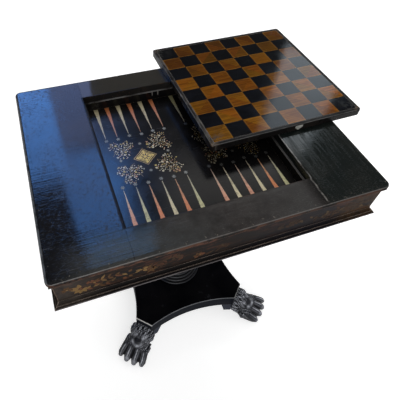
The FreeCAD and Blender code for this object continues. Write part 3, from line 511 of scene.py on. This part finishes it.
def paint(name, colour, worn_to, roughness=0.42, tip=None, lost=0):
    """Old brushed paint or gilt, thin in places, with a painted shadow where the chess panel falls over the
    board's right flowers.

    A board point pales towards its tip, and the back row of points is darkened as painted shade. On the
    apron, lost is how far the paint has gone where it is missing.
    """
    s = Shader(name, specular=0.03 if lost else 0.3, colour=colour)
    x, y = s.split(s.about(AXIS))[:2]
    along = s.size(y)
    thin = s.noise(260, rough=0.7)
    if tip is not None:
        s.layer(tip, (along, 0.175, 0.095))
        # Painted shade: the back row darkened, as the back of the well lies in shade
        s.layer(worn_to, (y, 0, 0.16, 0, 0.5))
    # Painted shadow: the chess panel's shade over the board's right flower clusters
    panel_shadow = s.times((x, -0.03, 0.02), (x, 0.21, 0.2), (along, 0.09, 0.082))
    s.layer(shaded(worn_to, 0.6), panel_shadow, 0.8)
    patch = s.noise(70, detail=4, shift=2)
    worn = s.most((thin, 0.52, 0.66), s.times((patch, 0.55, 0.7), 0.8))
    s.layer(worn_to, worn, 0.75)
    if lost:
        gone = s.span(s.noise(13, stretch=(1, 1, 1.6), rough=0.6, shift=9.9), 0.44, 0.56)
        s.layer((0.022, 0.0125, 0.009), gone, (x, -0.3, -0.22), lost)
        faded = s.times((x, -0.02, 0.12), (x, 0.34, 0.28, 0.3, 1), (y, -0.21, -0.23))
        s.layer((0.026, 0.0165, 0.011), faded, 0.8)
    return s.finish(roughness, s.bump(thin, 0.2 * MM, 0.4))


AMBER = ((0.094, 0.032, 0.0012), (0.23, 0.088, 0.003), (0.27, 0.122, 0.012))
EBONY = ((0.0014, 0.0016, 0.0028), (0.0052, 0.0062, 0.01), (0.012, 0.0105, 0.01))
FINISH = {
    "top_lacquer": top_lacquer(),
    "well_lacquer": well_lacquer(),
    "apron_lacquer": apron_lacquer(),
    "base_lacquer": base_lacquer("black_base_lacquer", 0.003),
    "carved_lacquer": carved_lacquer(),
    "panel_lacquer": panel_lacquer(),
    "light_veneer": veneer("amber_veneer", *AMBER, 0),
    "dark_veneer": veneer("ebonised_veneer", *EBONY, 5),
    "carcass_wood": carcass_wood(),
    "screw_steel": metal("dull_iron", (0.105, 0.098, 0.092), (0.29, 0.275, 0.26), 0.45),
    "plate_metal": metal("tarnished_plate", (0.3, 0.3, 0.27), (0.56, 0.56, 0.52), 0.42, 0.25),
}


def coat(node, finish):
    for holder in NODES[node].material_slots:
        holder.material = finish


TURNED = base_lacquer("black_turned_lacquer", 0.42)
# The brackets' upright faces four times lighter: painted light, as they stand in the platform's shade
BLOCKS = base_lacquer("black_bracket_lacquer", 0.003, 4)
for part in frame["record"]["subparts"]:
    coat(part["node"], FINISH[part["material_slot"]])
for node in NODES:
    if node.startswith(("pillar_s", "pillar_cap")):
        coat(node, TURNED)
    if node.startswith(("bracket_f", "bracket_b")):
        coat(node, BLOCKS)


class Brush:
    """Thin closed flakes of paint laid on a flat face, each at its own height so that overlaps stay clear."""

    SUNK = 0.06 * MM
    PROUD = 0.13 * MM
    COAT = 0.012 * MM
    COATS = 10
    LEAF = (
        (0.22, -0.7), (0.45, -0.85), (0.72, -0.5), (1, 0),
        (0.72, 0.62), (0.45, 1), (0.22, 0.75), (0, 0),
    )

    def __init__(self, name, finish, slot_name, proud=PROUD):
        self.name = name
        self.proud = proud
        self.laid = 0
        self.finish = finish
        self.slot_name = slot_name
        self.mesh = bmesh.new()

    def flake(self, face, outline):
        origin, across, up = face
        out = across.cross(up)
        rise = self.proud + self.COAT * (self.laid % self.COATS)
        self.laid += 1
        low = []
        high = []
        for a, b in outline:
            spot = origin + across * a + up * b
            low.append(self.mesh.verts.new(spot - out * self.SUNK))
            high.append(self.mesh.verts.new(spot + out * rise))
        self.mesh.faces.new(high)
        self.mesh.faces.new(low[::-1])
        for i in range(len(outline)):
            j = (i + 1) % len(outline)
            self.mesh.faces.new((low[i], low[j], high[j], high[i]))

    def turned(self, face, centre, angle, corners):
        """A flake whose corners are turned by the angle about the centre."""
        c, s = math.cos(angle), math.sin(angle)
        self.flake(face, [(centre[0] + a * c - b * s, centre[1] + a * s + b * c) for a, b in corners])

    def oval(self, face, centre, long, wide, angle, count):
        steps = [2 * math.pi * i / count for i in range(count)]
        self.turned(face, centre, angle, [(long * math.cos(t), wide * math.sin(t)) for t in steps])

    def leaf(self, face, start, length, wide, angle):
        """A pointed leaf from its stalk end."""
        self.turned(face, start, angle, [(length * a, wide * b) for a, b in self.LEAF])

    def stroke(self, face, points, widths):
        left = []
        right = []
        for i, point in enumerate(points):
            before = points[max(i - 1, 0)]
            after = points[min(i + 1, len(points) - 1)]
            run = Vector((after[0] - before[0], after[1] - before[1])).normalized()
            left.append((point[0] - run.y * widths[i] / 2, point[1] + run.x * widths[i] / 2))
            right.append((point[0] + run.y * widths[i] / 2, point[1] - run.x * widths[i] / 2))
        self.flake(face, right + left[::-1])

    def done(self):
        made = bpy.data.meshes.new(self.name)
        self.mesh.to_mesh(made)
        self.mesh.free()
        made.materials.append(self.finish)
        piece = shown(self.name, made)
        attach(piece, "table")


def on_board(name, pigment, *colours, proud=Brush.PROUD, **looks):
    return Brush("board_" + name, paint(pigment, *colours, **looks), "well_lacquer", proud)


chance = random.Random(41)

# Painted board: twelve points on each side of the well, a rosette at each tip; places in mm from its middle
BOARD = (Vector((AXIS.x, AXIS.y, FLOOR_LEVEL)), Vector((1, 0, 0)), Vector((0, 1, 0)))
cream = on_board("cream", "cream_paint", (0.63, 0.55, 0.34), (0.21, 0.17, 0.1), tip=(0.46, 0.41, 0.29))
salmon = on_board("salmon", "salmon_paint", (0.64, 0.3, 0.18), (0.19, 0.085, 0.055), tip=(0.5, 0.38, 0.28))
orange = on_board("orange", "orange_paint", (0.62, 0.205, 0.066), (0.19, 0.062, 0.024), tip=(0.5, 0.27, 0.14))
olive = on_board("olive", "olive_cream_paint", (0.53, 0.5, 0.26), (0.15, 0.13, 0.07), tip=(0.42, 0.39, 0.28))
gilt = on_board("gilt", "faded_gilt", (0.42, 0.29, 0.105), (0.1, 0.066, 0.026), 0.36)
gold = on_board("gold", "yellow_gold", (0.6, 0.445, 0.105), (0.215, 0.15, 0.04), 0.36)
dusty = on_board("rosettes", "dusty_cream", (0.205, 0.205, 0.185), (0.055, 0.055, 0.052))
white = on_board("white", "white_flecks", (0.66, 0.6, 0.44), (0.25, 0.215, 0.145))
ink = on_board("ink", "black_paint", (0.008, 0.007, 0.007), (0.04, 0.03, 0.016), proud=0.22 * MM)
FRONT_COLOURS = (salmon, olive, orange, cream, orange, olive, salmon, cream, salmon, cream, orange, olive)
BACK_COLOURS = (cream, orange, cream, orange, cream, orange, olive, salmon, cream, orange, cream, salmon)
HALF_PLACES = (29, 59, 89, 119.5, 149, 178)
POINT_PLACES = [-place for place in reversed(HALF_PLACES)] + list(HALF_PLACES)
POINT_BASE = 199.5
POINT_TIP = 85
POINT_WIDTH = 11.6
POINT_STEPS = 12


def polar(centre, reach, angle):
    return centre[0] + reach * math.cos(angle), centre[1] + reach * math.sin(angle)


def board_point(brush, x, base, tip):
    points = []
    widths = []
    for i in range(POINT_STEPS + 1):
        share = i / POINT_STEPS
        points.append(((x + chance.uniform(-0.25, 0.25)) * MM, (base + (tip - base) * share) * MM))
        widths.append((POINT_WIDTH * (1 - share) ** 1.15 + 0.9 * share + chance.uniform(-0.3, 0.3)) * MM)
    brush.stroke(BOARD, points, widths)


def rosette(brush, heart, centre, size):
    turn = chance.uniform(0, 1)
    for i in range(6):
        angle = turn + i * math.pi / 3
        brush.oval(BOARD, polar(centre, 0.62 * size, angle), 0.42 * size, 0.27 * size, angle, 8)
    heart.oval(BOARD, centre, 0.22 * size, 0.22 * size, 0, 8)


for row, sign in ((FRONT_COLOURS, -1), (BACK_COLOURS, 1)):
    for place, brush in zip(POINT_PLACES, row):
        tip = POINT_TIP + chance.uniform(-3, 3)
        board_point(brush, place, sign * POINT_BASE, sign * tip)
        rosette(dusty, dusty, (place * MM, sign * (tip - 8) * MM), 4.8 * MM)

# A gilt lozenge on each half of the board, with a round flower cluster off each of its sides
SIDE_STEPS = 8
HEART = 103
CLUSTER_X = 46
CLUSTER_Y = 39
CLUSTER_RADIUS = 32


def lozenge_rim(centre_x, half_x, half_y, dip_share):
    """A lozenge with hollow sides, drawn by hand, as SIDE_STEPS points a side."""
    rim = [(half_x, 0), (0, half_y), (-half_x, 0), (0, -half_y)]
    outline = []
    for i in range(4):
        first, last = rim[i], rim[(i + 1) % 4]
        for step in range(SIDE_STEPS):
            share = step / SIDE_STEPS
            dip = 1 - dip_share * math.sin(math.pi * share)
            a = (first[0] + (last[0] - first[0]) * share) * dip + chance.uniform(-0.2, 0.2)
            b = (first[1] + (last[1] - first[1]) * share) * dip + chance.uniform(-0.2, 0.2)
            outline.append((centre_x + a * MM, b * MM))
    return outline


def lozenge(heart_x):
    for i in range(4):
        ring = lozenge_rim(heart_x, 28, 26.5, 0.04)
        side = (ring + ring[:1])[SIDE_STEPS * i:SIDE_STEPS * (i + 1) + 1]
        gilt.stroke(BOARD, side, [chance.uniform(1.2, 1.8) * MM for _ in side])
    gold.flake(BOARD, lozenge_rim(heart_x, 23.5, 22.2, 0.05))
    for i in range(8):
        angle = i * math.pi / 4 + math.pi / 8
        ink.leaf(BOARD, polar((heart_x, 0), 3 * MM, angle), 8.6 * MM, 1.7 * MM, angle)
    for i in range(4):
        ring = lozenge_rim(heart_x, 19.2, 18.2, 0.05)
        side = ring[SIDE_STEPS * i + 1:SIDE_STEPS * (i + 1)]
        ink.stroke(BOARD, side, [chance.uniform(1.4, 2) * MM for _ in side])


def cluster(centre, radius):
    """Small leaves and blooms round a few curved sprigs."""
    for arm in range(4):
        angle = arm * math.pi / 2 + chance.uniform(-0.25, 0.25)
        curl = chance.choice((-1, 1)) * chance.uniform(0.5, 1)
        shares = [0.12 + 0.85 * step / 6 for step in range(7)]
        stem = [polar(centre, radius * share, angle + curl * share) for share in shares]
        gilt.stroke(BOARD, stem, [chance.uniform(0.35, 0.6) * MM for _ in stem])
    taken = []
    for _ in range(1400):
        reach = radius * chance.uniform(0, 1) ** 0.72
        angle = chance.uniform(0, 2 * math.pi)
        lobe = 0.76 + 0.24 * math.sin(3 * angle + 40 * centre[0])
        if chance.random() > 1.25 - reach / (radius * lobe):
            continue
        spot = polar(centre, reach, angle)
        size = chance.choice((1.5, 1.9, 1.9, 2.4, 2.9)) * MM
        if all(math.dist(spot, other) > 0.95 * (size + wide) for other, wide in taken):
            taken.append((spot, size))
            kind = chance.choice((white, white, white, white, gilt, gilt, gold, orange))
            if size > 2.8 * MM:
                rosette(kind, gilt, spot, size)
            else:
                kind.leaf(BOARD, spot, 2 * size, 0.62 * size, angle + chance.uniform(-1.2, 1.2))


for half in (-1, 1):
    heart_x = half * HEART * MM
    lozenge(heart_x)
    for side_x in (-1, 1):
        for side_y in (-1, 1):
            cluster((heart_x + side_x * CLUSTER_X * MM, side_y * CLUSTER_Y * MM), CLUSTER_RADIUS * MM)
    for a, b in ((0, 45), (0, -45), (-58, 3), (58, 3)):
        rosette(dusty, gilt, (heart_x + half * a * MM, b * MM), 4 * MM)
for brush in (cream, salmon, orange, olive, white, gilt, gold, dusty, ink):
    brush.done()

# Faded flower work on the four apron faces, kept between the cove and the moulding
OLD_GILT = paint("old_gilt", (0.165, 0.098, 0.038), (0.042, 0.024, 0.012), 0.45, lost=0.85)
DULL_GILT = paint("worn_gilt", (0.08, 0.041, 0.018), (0.014, 0.009, 0.006), 0.5, lost=0.85)
RUST = paint("rust_red_paint", (0.108, 0.044, 0.023), (0.038, 0.018, 0.011), 0.5, lost=0.6)
bright = Brush("apron_gilt", OLD_GILT, "apron_lacquer")
dull = Brush("apron_worn_gilt", DULL_GILT, "apron_lacquer", 0.126 * MM)
rust = Brush("apron_rust", RUST, "apron_lacquer", 0.122 * MM)
STEM_RANGE = (-20 * MM, 26 * MM)
LEAF_RANGE = (-19 * MM, 25 * MM)
FLOWER_RANGE = (-8 * MM, 12 * MM)
LONG_FACE = 0.3


def held(value, limits):
    return max(min(value, limits[1]), limits[0])


def apron_faces():
    centre = Vector((AXIS.x, AXIS.y, (APRON_LOW.z + APRON_HIGH.z) / 2))
    half_x = APRON_HIGH.x - AXIS.x
    half_y = APRON_HIGH.y - AXIS.y
    up = Vector((0, 0, 1))
    yield (centre + Vector((0, -half_y, 0)), Vector((1, 0, 0)), up), half_x
    yield (centre + Vector((0, half_y, 0)), Vector((-1, 0, 0)), up), half_x
    yield (centre + Vector((half_x, 0, 0)), Vector((0, 1, 0)), up), half_y
    yield (centre + Vector((-half_x, 0, 0)), Vector((0, -1, 0)), up), half_y


def flower(face, centre, size, petals, brush, heart):
    turn = chance.uniform(0, 1)
    for i in range(petals):
        angle = turn + 2 * math.pi * i / petals + chance.uniform(-0.12, 0.12)
        if chance.random() < 0.82:
            brush.leaf(face, polar(centre, 0.2 * size, angle), 0.8 * size, 0.26 * size, angle)
    heart.oval(face, centre, 0.2 * size, 0.18 * size, turn, 9)


def spray(face, start, length, angle, curl, size):
    """A curved stem with leaves on both sides, some of them lost; gives back the stem's end."""
    shares = [step / 9 for step in range(10)]
    stem = [polar(start, length * share, angle + curl * share) for share in shares]
    stem = [(a, held(b, STEM_RANGE)) for a, b in stem]
    for first in (0, 5):
        run = stem[first:first + 5]
        if chance.random() < 0.85:
            dull.stroke(face, run, [chance.uniform(0.6, 1.3) * MM for _ in run])
    for a, b in stem[1:]:
        for side in (-1, 1):
            if chance.random() < 0.62:
                kind = chance.choice((dull, dull, bright, rust))
                lean = angle + side * chance.uniform(0.5, 1.1)
                if LEAF_RANGE[0] < b < LEAF_RANGE[1]:
                    long = size * chance.uniform(0.6, 1)
                    wide = size * chance.uniform(0.16, 0.26)
                    kind.leaf(face, (a, b), long, wide, lean)
    return stem[-1]


def face_end(face, half, end):
    """Three flowers and two sprays at one end of an apron face."""
    heart = (end * (half - 46 * MM), -1 * MM)
    flower(face, heart, 19 * MM, 9, bright, rust)
    flower(face, (heart[0] - end * 27 * MM, 8 * MM), 14 * MM, 8, rust, bright)
    flower(face, (heart[0] + end * 24 * MM, 9 * MM), 12 * MM, 7, dull, bright)
    facing = 0 if end < 0 else math.pi
    spray(face, (heart[0], 8 * MM), 120 * MM, facing + end * -0.12, end * 0.15, 19 * MM)
    spray(face, (heart[0], -7 * MM), 105 * MM, facing + end * 0.08, end * -0.12, 17 * MM)


for face, half in apron_faces():
    for end in (-1, 1):
        face_end(face, half, end)
    count = 5 if half > LONG_FACE else 3
    for i in range(count):
        at = (i - (count - 1) / 2) * 2 * (half - 110 * MM) / count
        way = chance.choice((0, math.pi))
        start = (at, chance.uniform(-9, 9) * MM)
        length = chance.uniform(60, 95) * MM
        tip = spray(face, start, length, way + chance.uniform(-0.12, 0.12), 0.15, 18 * MM)
        if chance.random() < 0.7:
            spot = (tip[0], held(tip[1], FLOWER_RANGE))
            flower(face, spot, 13 * MM, 7, chance.choice((bright, dull)), rust)
for brush in (bright, dull, rust):
    brush.done()

# Carved paw in mm, in its own frame: X out from the platform's canted corner, Y along it, Z up from the floor
SHANK = (
    (0, 33, 10, 91), (6, 34, 4, 91), (20, 35, -4, 88), (30, 35, -4, 80),
    (42, 38, -4, 70), (54, 41, -4, 60), (66, 42, -4, 51), (75, 37, -4, 37),
)
SHANK_SIDES = 32
SHANK_ROUNDING = 0.72
INNER_TOE = ((50, 9.5, 46, 11.5), (63, 11.5, 40, 13.5), (80, 12.8, 29, 13.2), (95, 13.4, 17, 12.6))
OUTER_TOE = ((50, 27, 38, 11.5), (61, 32, 34, 13.4), (75, 35.5, 26, 13.2), (88, 38.3, 16.5, 12.4))
INNER_PAD = ((66, 11.5, 10, 11.5), (92, 13.4, 10, 10.6))
OUTER_PAD = ((60, 32, 10, 11.5), (85, 38, 10, 10.6))
INNER_TIP = ((98, 13.4, 13.5, 10.2), (102, 13.6, 10.5, 8.8))
OUTER_TIP = ((91, 38.8, 13.5, 10.2), (95, 39.4, 10.5, 8.8))
KNUCKLE = (9.5, 9.8, 8.2)
WEB = (12, 9, 14)
SCROLL_BEADS = 34
LOCK_ROWS = ((8, 10.5, 5.6, 0, 12), (19.5, 12.5, 6.2, -2.8, 10))
CUFF_HALF = 36.5
BOSS_HEART = Vector((48, 0, 61))
BOSS_RIM = (15.5, 17)
BOSS_BEADS = 26
BOSS_TILT = Matrix.Rotation(math.radians(40), 4, "Y")
PAW_TOP = 92.9


class Forms:
    """Closed forms gathered for one union."""

    def __init__(self):
        self.points = []
        self.faces = []

    def add(self, points, faces):
        start = len(self.points)
        self.points.extend(points)
        self.faces.extend([tuple(start + i for i in face) for face in faces])


def unit_ball(around=22, rows=14):
    points = [Vector((0, 0, 1))]
    for j in range(1, rows):
        t = math.pi * j / rows
        for i in range(around):
            f = 2 * math.pi * i / around
            points.append(Vector((math.sin(t) * math.cos(f), math.sin(t) * math.sin(f), math.cos(t))))
    points.append(Vector((0, 0, -1)))
    last = len(points) - 1
    faces = []
    for i in range(around):
        k = (i + 1) % around
        faces.append((0, 1 + i, 1 + k))
        faces.append((last, last - around + k, last - around + i))
        for j in range(rows - 2):
            low = 1 + j * around
            faces.append((low + i, low + around + i, low + around + k, low + k))
    return points, faces


BALL_POINTS, BALL_FACES = unit_ball()


def ball(forms, centre, radii, turn=None):
    place = Matrix.Translation(Vector(centre) * MM)
    if turn is not None:
        place = place @ turn
    place = place @ Matrix.Diagonal((radii[0] * MM, radii[1] * MM, radii[2] * MM, 1))
    forms.add([place @ point for point in BALL_POINTS], BALL_FACES)


def limb(forms, points, side, steps=9):
    """A rounded limb through (x, y, z, radius) points, on one side of the paw."""
    for first, last in zip(points, points[1:]):
        for i in range(steps):
            share = i / (steps - 1)
            x, y, z, r = (a + (b - a) * share for a, b in zip(first, last))
            ball(forms, (x, side * y, z), (r, r, r))


def shank(forms):
    """The leg between the platform and the toes, through (x, half width, low, high) sections."""
    sides = SHANK_SIDES
    points = []
    faces = []
    for k, (x, half, low, high) in enumerate(SHANK):
        for i in range(sides):
            t = 2 * math.pi * i / sides
            c, s = math.cos(t), math.sin(t)
            a = half * math.copysign(abs(c) ** SHANK_ROUNDING, c)
            b = (low + high) / 2 + (high - low) / 2 * math.copysign(abs(s) ** SHANK_ROUNDING, s)
            points.append(Vector((x, a, b)) * MM)
            j = (i + 1) % sides
            if k:
                before = sides * (k - 1)
                faces.append((before + i, before + j, before + sides + j, before + sides + i))
    faces.append(tuple(range(sides - 1, -1, -1)))
    faces.append(tuple(range(len(points) - sides, len(points))))
    forms.add(points, faces)


def toes(forms, side):
    """Two blunt toes with knuckles, pads and a web between them."""
    limb(forms, INNER_TOE, side)
    limb(forms, INNER_PAD, side, 6)
    ball(forms, (65, side * 11.8, 43), KNUCKLE)
    limb(forms, OUTER_TOE, side)
    limb(forms, OUTER_PAD, side, 6)
    ball(forms, (60, side * 31.5, 38), KNUCKLE)
    limb(forms, INNER_TIP, side, 5)
    limb(forms, OUTER_TIP, side, 5)
    ball(forms, (78, side * 25.5, 15), WEB)


def ankle(forms, side):
    """A scrolled lobe, and two leaves running down from the collar."""
    ball(forms, (50, side * 32, 27), (22, 13, 20))
    for i in range(SCROLL_BEADS):
        share = i / (SCROLL_BEADS - 1)
        t = 0.4 + 7.4 * share
        r = 18.5 - 14.5 * share
        spot = (48 - r * math.cos(t), side * (40 + 3 * share), 26 + r * math.sin(t))
        ball(forms, spot, (3, 3.8, 3))
    for y, z, turn in ((13, 77, 0.12), (25, 66, 0.3)):
        lean = Matrix.Rotation(side * turn, 4, "Z") @ Matrix.Rotation(math.radians(42), 4, "Y")
        ball(forms, (35, side * y, z), (15, 5.2, 5.6), lean)


def cuff(forms):
    """Shaggy cuff over the ankle: a row of locks, then a row of leaf tips."""
    for row, (x, length, wide, lift, locks) in enumerate(LOCK_ROWS):
        for i in range(locks):
            angle = 1.9 * (i / (locks - 1) * 2 - 1)
            y = CUFF_HALF * math.sin(angle)
            if abs(angle) >= math.pi / 2:
                y = math.copysign(CUFF_HALF, angle)
            z = 57 + lift + 31 * math.cos(angle)
            lean = Matrix.Rotation(-angle, 4, "X") @ Matrix.Rotation(math.radians(14 + 10 * row), 4, "Y")
            lean = lean @ Matrix.Rotation(0.25 * math.sin(3.1 * i + row), 4, "Z")
            ball(forms, (x, y, z), (length, wide, 5), lean)


def boss(forms):
    """Oval boss in a raised rim on the instep, and the web between the middle toes."""
    ball(forms, BOSS_HEART, (11.5, 13, 8), BOSS_TILT)
    ball(forms, (82, 0, 15), WEB)
    for i in range(BOSS_BEADS):
        t = 2 * math.pi * i / BOSS_BEADS
        c, s = math.cos(t), math.sin(t)
        spot = BOSS_HEART + BOSS_TILT.to_3x3() @ Vector((BOSS_RIM[0] * c, BOSS_RIM[1] * s, -2 * s ** 2))
        ball(forms, spot, (3.2, 3.2, 3.6), BOSS_TILT)


def remeshed(forms, voxel, rounds):
    """The union of all the forms as one smooth closed mesh."""
    rough = bpy.data.meshes.new("paw_forms")
    rough.from_pydata(forms.points, [], forms.faces)
    holder = shown("paw_forms", rough)
    union = holder.modifiers.new("union", "REMESH")
    union.mode = "VOXEL"
    union.voxel_size = voxel
    ease = holder.modifiers.new("ease", "SMOOTH")
    ease.factor = 0.5
    ease.iterations = rounds
    eased = holder.evaluated_get(bpy.context.evaluated_depsgraph_get())
    made = bpy.data.meshes.new_from_object(eased)
    bpy.data.objects.remove(holder)
    bpy.data.meshes.remove(rough)
    return made


def ramp(value, start, end):
    return np.clip((value - start) / (end - start), 0, 1)


def hump(value, centre, width):
    return np.exp(-(((value - centre) / width) ** 2))


def vertex_rows(mesh, field):
    rows = np.empty(len(mesh.vertices) * 3)
    mesh.vertices.foreach_get(field, rows)
    return rows.reshape(-1, 3)


def carve(mesh):
    """Ridges on the toes and hair on the cuff and the ankle, with a mark where they are rubbed bright and
    take a painted highlight.
    """
    place = vertex_rows(mesh, "co")
    facing = vertex_rows(mesh, "normal")
    u, v, w = (place / MM).T
    # Toes: a keel along each one and a lesser ridge beside it
    lines = [np.interp(u, [p[0] for p in toe], [p[1] for p in toe]) for toe in (INNER_TOE, OUTER_TOE)]
    beside = np.minimum(np.abs(np.abs(v) - lines[0]), np.abs(np.abs(v) - lines[1]))
    knuckle = 0.88 + 0.12 * np.cos(2 * math.pi * (u - 67) / 21)
    keel = knuckle * hump(beside, 0, 2.6) + 0.28 * hump(beside, 6.4, 1.8)
    toe = ramp(u, 66, 73) * ramp(u, 106, 100) * ramp(facing[:, 2], -0.2, 0.2)
    # Hair: waves round the leg, on the cuff and on the ankle clear of the boss
    around = np.arctan2(v, w - 45)
    hair = 0.65 * np.sin(31 * around + 0.4 * u + 1.7 * np.sin(9 * around + 0.3 * u))
    hair += 0.55 * np.sin(53 * around - 0.55 * u + 1.2 * np.sin(13 * around - 0.4 * u))
    over = ramp(u, 31, 26) * ramp(u, 0, 3)
    near = (place / MM - np.array(BOSS_HEART)) @ np.array(BOSS_TILT.to_3x3())
    ring = np.hypot(near[:, 0] / BOSS_RIM[0], near[:, 1] / BOSS_RIM[1])
    under = ramp(u, 28, 33) * ramp(u, 68, 60) * ramp(ring, 1.15, 1.45)
    relief = 2.1 * (keel - 0.35) * toe + hair * (0.8 * over + 0.5 * under)
    place = place + facing * (MM * ramp(w, 4, 12) * relief)[:, None]
    # Crests rubbed bright and given a painted highlight, on the toes where they face up: keels, hair, the
    # collar's leaves, the toes' tips and the front of the boss's rim
    rim = hump(ring, 0.95, 0.28) * (np.abs(near[:, 2]) < 8)
    rim *= 0.15 + 0.85 * ramp(near[:, 0], -2, 8)
    rim *= 0.7 + 0.3 * np.sin(4 * np.arctan2(near[:, 1], near[:, 0]) + 0.8)
    leaf = np.sqrt((u - 33) ** 2 + (np.abs(v) - 17) ** 2 + (w - 77) ** 2)
    crests = (
        toe * np.clip(1.4 * keel - 0.4, 0, 1),
        0.18 * toe * hump(beside, 6.4, 1.5),
        0.95 * over * np.clip(1.8 * hair - 0.35, 0, 1),
        0.6 * under * np.clip(1.8 * hair - 0.7, 0, 1),
        hump(leaf, 0, 8),
        0.8 * ramp(u, 97, 102) * np.clip(facing[:, 2], 0, 1),
    )
    crest = np.maximum(np.where(ring < 1.2, 0, np.max(crests, axis=0)), rim)
    mesh.attributes.new(CREST, "FLOAT", "POINT").data.foreach_set("value", crest)
    # Flat back and sole
    place[:, 0] = np.maximum(place[:, 0], 0)
    place[:, 2] = np.clip(place[:, 2], 0, PAW_TOP * MM)
    mesh.vertices.foreach_set("co", place.ravel())


def paw_mesh():
    forms = Forms()
    shank(forms)
    for side in (-1, 1):
        toes(forms, side)
        ankle(forms, side)
    cuff(forms)
    boss(forms)
    made = remeshed(forms, 1.2 * MM, 2)
    carve(made)
    made.polygons.foreach_set("use_smooth", np.ones(len(made.polygons), dtype=bool))
    made.update()
    made.materials.append(FINISH["carved_lacquer"])
    made.name = "carved_paw"
    return made


def placed(mesh, name, angle, swing):
    """A copy of the paw against its own cant, its toes set a little to one side by swing."""
    other = mesh.copy()
    other.name = name
    if swing:
        place = vertex_rows(other, "co")
        place[:, 1] += 0.3 * swing * place[:, 0] + swing * np.maximum(place[:, 0] - 45 * MM, 0)
        other.vertices.foreach_set("co", place.ravel())
    out = Vector((*polar(AXIS, CANT_DISTANCE, angle), 0))
    other.transform(Matrix.Translation(out) @ Matrix.Rotation(angle, 4, "Z"))
    other.update()
    return other


PAW = paw_mesh()
for corner, degrees in (("front_left", 225), ("front_right", 315), ("back_right", 45), ("back_left", 135)):
    name = "carved_paw_" + corner
    swing = 0.2 if corner == "front_right" else 0
    piece = shown(name, placed(PAW, name, math.radians(degrees), swing))
    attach(piece, "table")
    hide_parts("paw_foot_" + corner)
bpy.data.meshes.remove(PAW)

# Eased arrises on the platform and on the panel's edge strips
EASED = {"platform_slab": 1.2 * MM}
for side in ("front", "right", "back", "left"):
    EASED["panel_edge_" + side] = 0.7 * MM
for node, width in EASED.items():
    ease = NODES[node].modifiers.new("eased_arris", "BEVEL")
    ease.width = width
    ease.segments = 2
    ease.limit_method = "ANGLE"
    ease.angle_limit = math.radians(50)
    ease.harden_normals = True

# Stage, light and camera, in metres
FLOOR_RADIUS = 40
FLOOR_GLOW = 0.66


def floor_finish():
    """Pale matt floor that also glows to the eye and in reflections, so that it reads as white."""
    s = Shader("pale_floor", roughness=0.9, specular=0, colour=(0.7, 0.7, 0.7))
    ray = s.tree.nodes.new("ShaderNodeLightPath").outputs
    seen = s.most(ray["Is Camera Ray"], ray["Is Glossy Ray"], ray["Is Transmission Ray"])
    s.put(s.surface["Emission Color"], (1, 1, 1))
    s.put(s.surface["Emission Strength"], s.times(seen, FLOOR_GLOW))
    return s.finish()


disc = bmesh.new()
bmesh.ops.create_circle(disc, cap_ends=True, segments=96, radius=FLOOR_RADIUS)
floor_mesh = bpy.data.meshes.new("studio_floor")
disc.to_mesh(floor_mesh)
disc.free()
floor_mesh.materials.append(floor_finish())
shown("studio_floor", floor_mesh)


def softbox(name, place, target, size, radiance, colour=(1, 1, 1), diffuse=True, gloss=True):
    light = bpy.data.lights.new(name, "AREA")
    light.shape = "RECTANGLE"
    light.size, light.size_y = size
    light.color = colour
    light.energy = radiance * size[0] * size[1] * 4
    lamp = shown(name, light)
    lamp.location = place
    lamp.rotation_euler = (Vector(target) - Vector(place)).to_track_quat("-Z", "Y").to_euler()
    lamp.visible_camera = False
    lamp.visible_diffuse = diffuse
    lamp.visible_glossy = gloss


def window(name, place, size, radiance, colour):
    """A panel on the far wall that faces the table and shows in reflections only."""
    softbox(name, place, (place[0], 0, place[2]), size, radiance, colour, diffuse=False)


BLUE = (0.13, 0.37, 1)
softbox("key", (0.7, 1.7, 3.2), (0, 0, 0.7), (2.2, 2.2), 3.2, gloss=False)
softbox("front_fill", (-0.9, -2.7, 0.75), (0, 0, 0.45), (2.4, 1.2), 2.9)
softbox("side_fill", (2.4, -1.2, 1.6), (0, 0, 0.4), (1.6, 1.6), 1.9, gloss=False)
window("window_low", (-0.62, 2.2, 2.58), (0.56, 1.35), 12.5, BLUE)
window("window_high", (-0.08, 2.2, 3.75), (0.7, 1.65), 10, BLUE)
window("window_gap", (-0.16, 2.25, 2.4), (0.36, 1), 4, (0.33, 0.47, 1))
window("window_top", (0.12, 2.2, 5.1), (1, 1), 4, (0.22, 0.5, 0.92))
window("pale_wall", (1.75, 2.2, 3.97), (2, 1.1), 1.15, (1, 0.98, 0.94))
SIDE_WINDOW = (2.185, 2.001, 2.75)
SIDE_TARGET = (1.542, 1.235, 2.75)
softbox("side_window", SIDE_WINDOW, SIDE_TARGET, (0.6, 1.25), 2.9, (0.8, 0.91, 1), diffuse=False)

# Dim surroundings, brighter behind the eye than behind the table
world = bpy.data.worlds.new("studio")
bpy.context.scene.world = world
world.use_nodes = True
sky = Patterns(world.node_tree)
depth = sky.split(sky.node("TexCoord", "Generated", {}))[1]
backdrop = world.node_tree.nodes["Background"].inputs
sky.put(backdrop["Color"], (0.98, 0.99, 1))
sky.put(backdrop["Strength"], sky.span(depth, -0.35, 0.45, 0.36, 0.13))

EYE = (AXIS.x - 0.273403, AXIS.y - 0.596010, 1.358132)
EYE_DEGREES = (38.773536, -1.848137, -19.300072)
eye = bpy.data.cameras.new("camera")
eye.sensor_width = 36
eye.lens = 34.028
eye.shift_x = 0.0765
eye.shift_y = -0.0274
camera = shown("camera", eye)
camera.location = EYE
camera.rotation_euler = tuple(math.radians(degrees) for degrees in EYE_DEGREES)
bpy.context.scene.camera = camera
bpy.context.scene.view_settings.view_transform = "Standard"

bpy.context.view_layer.update()
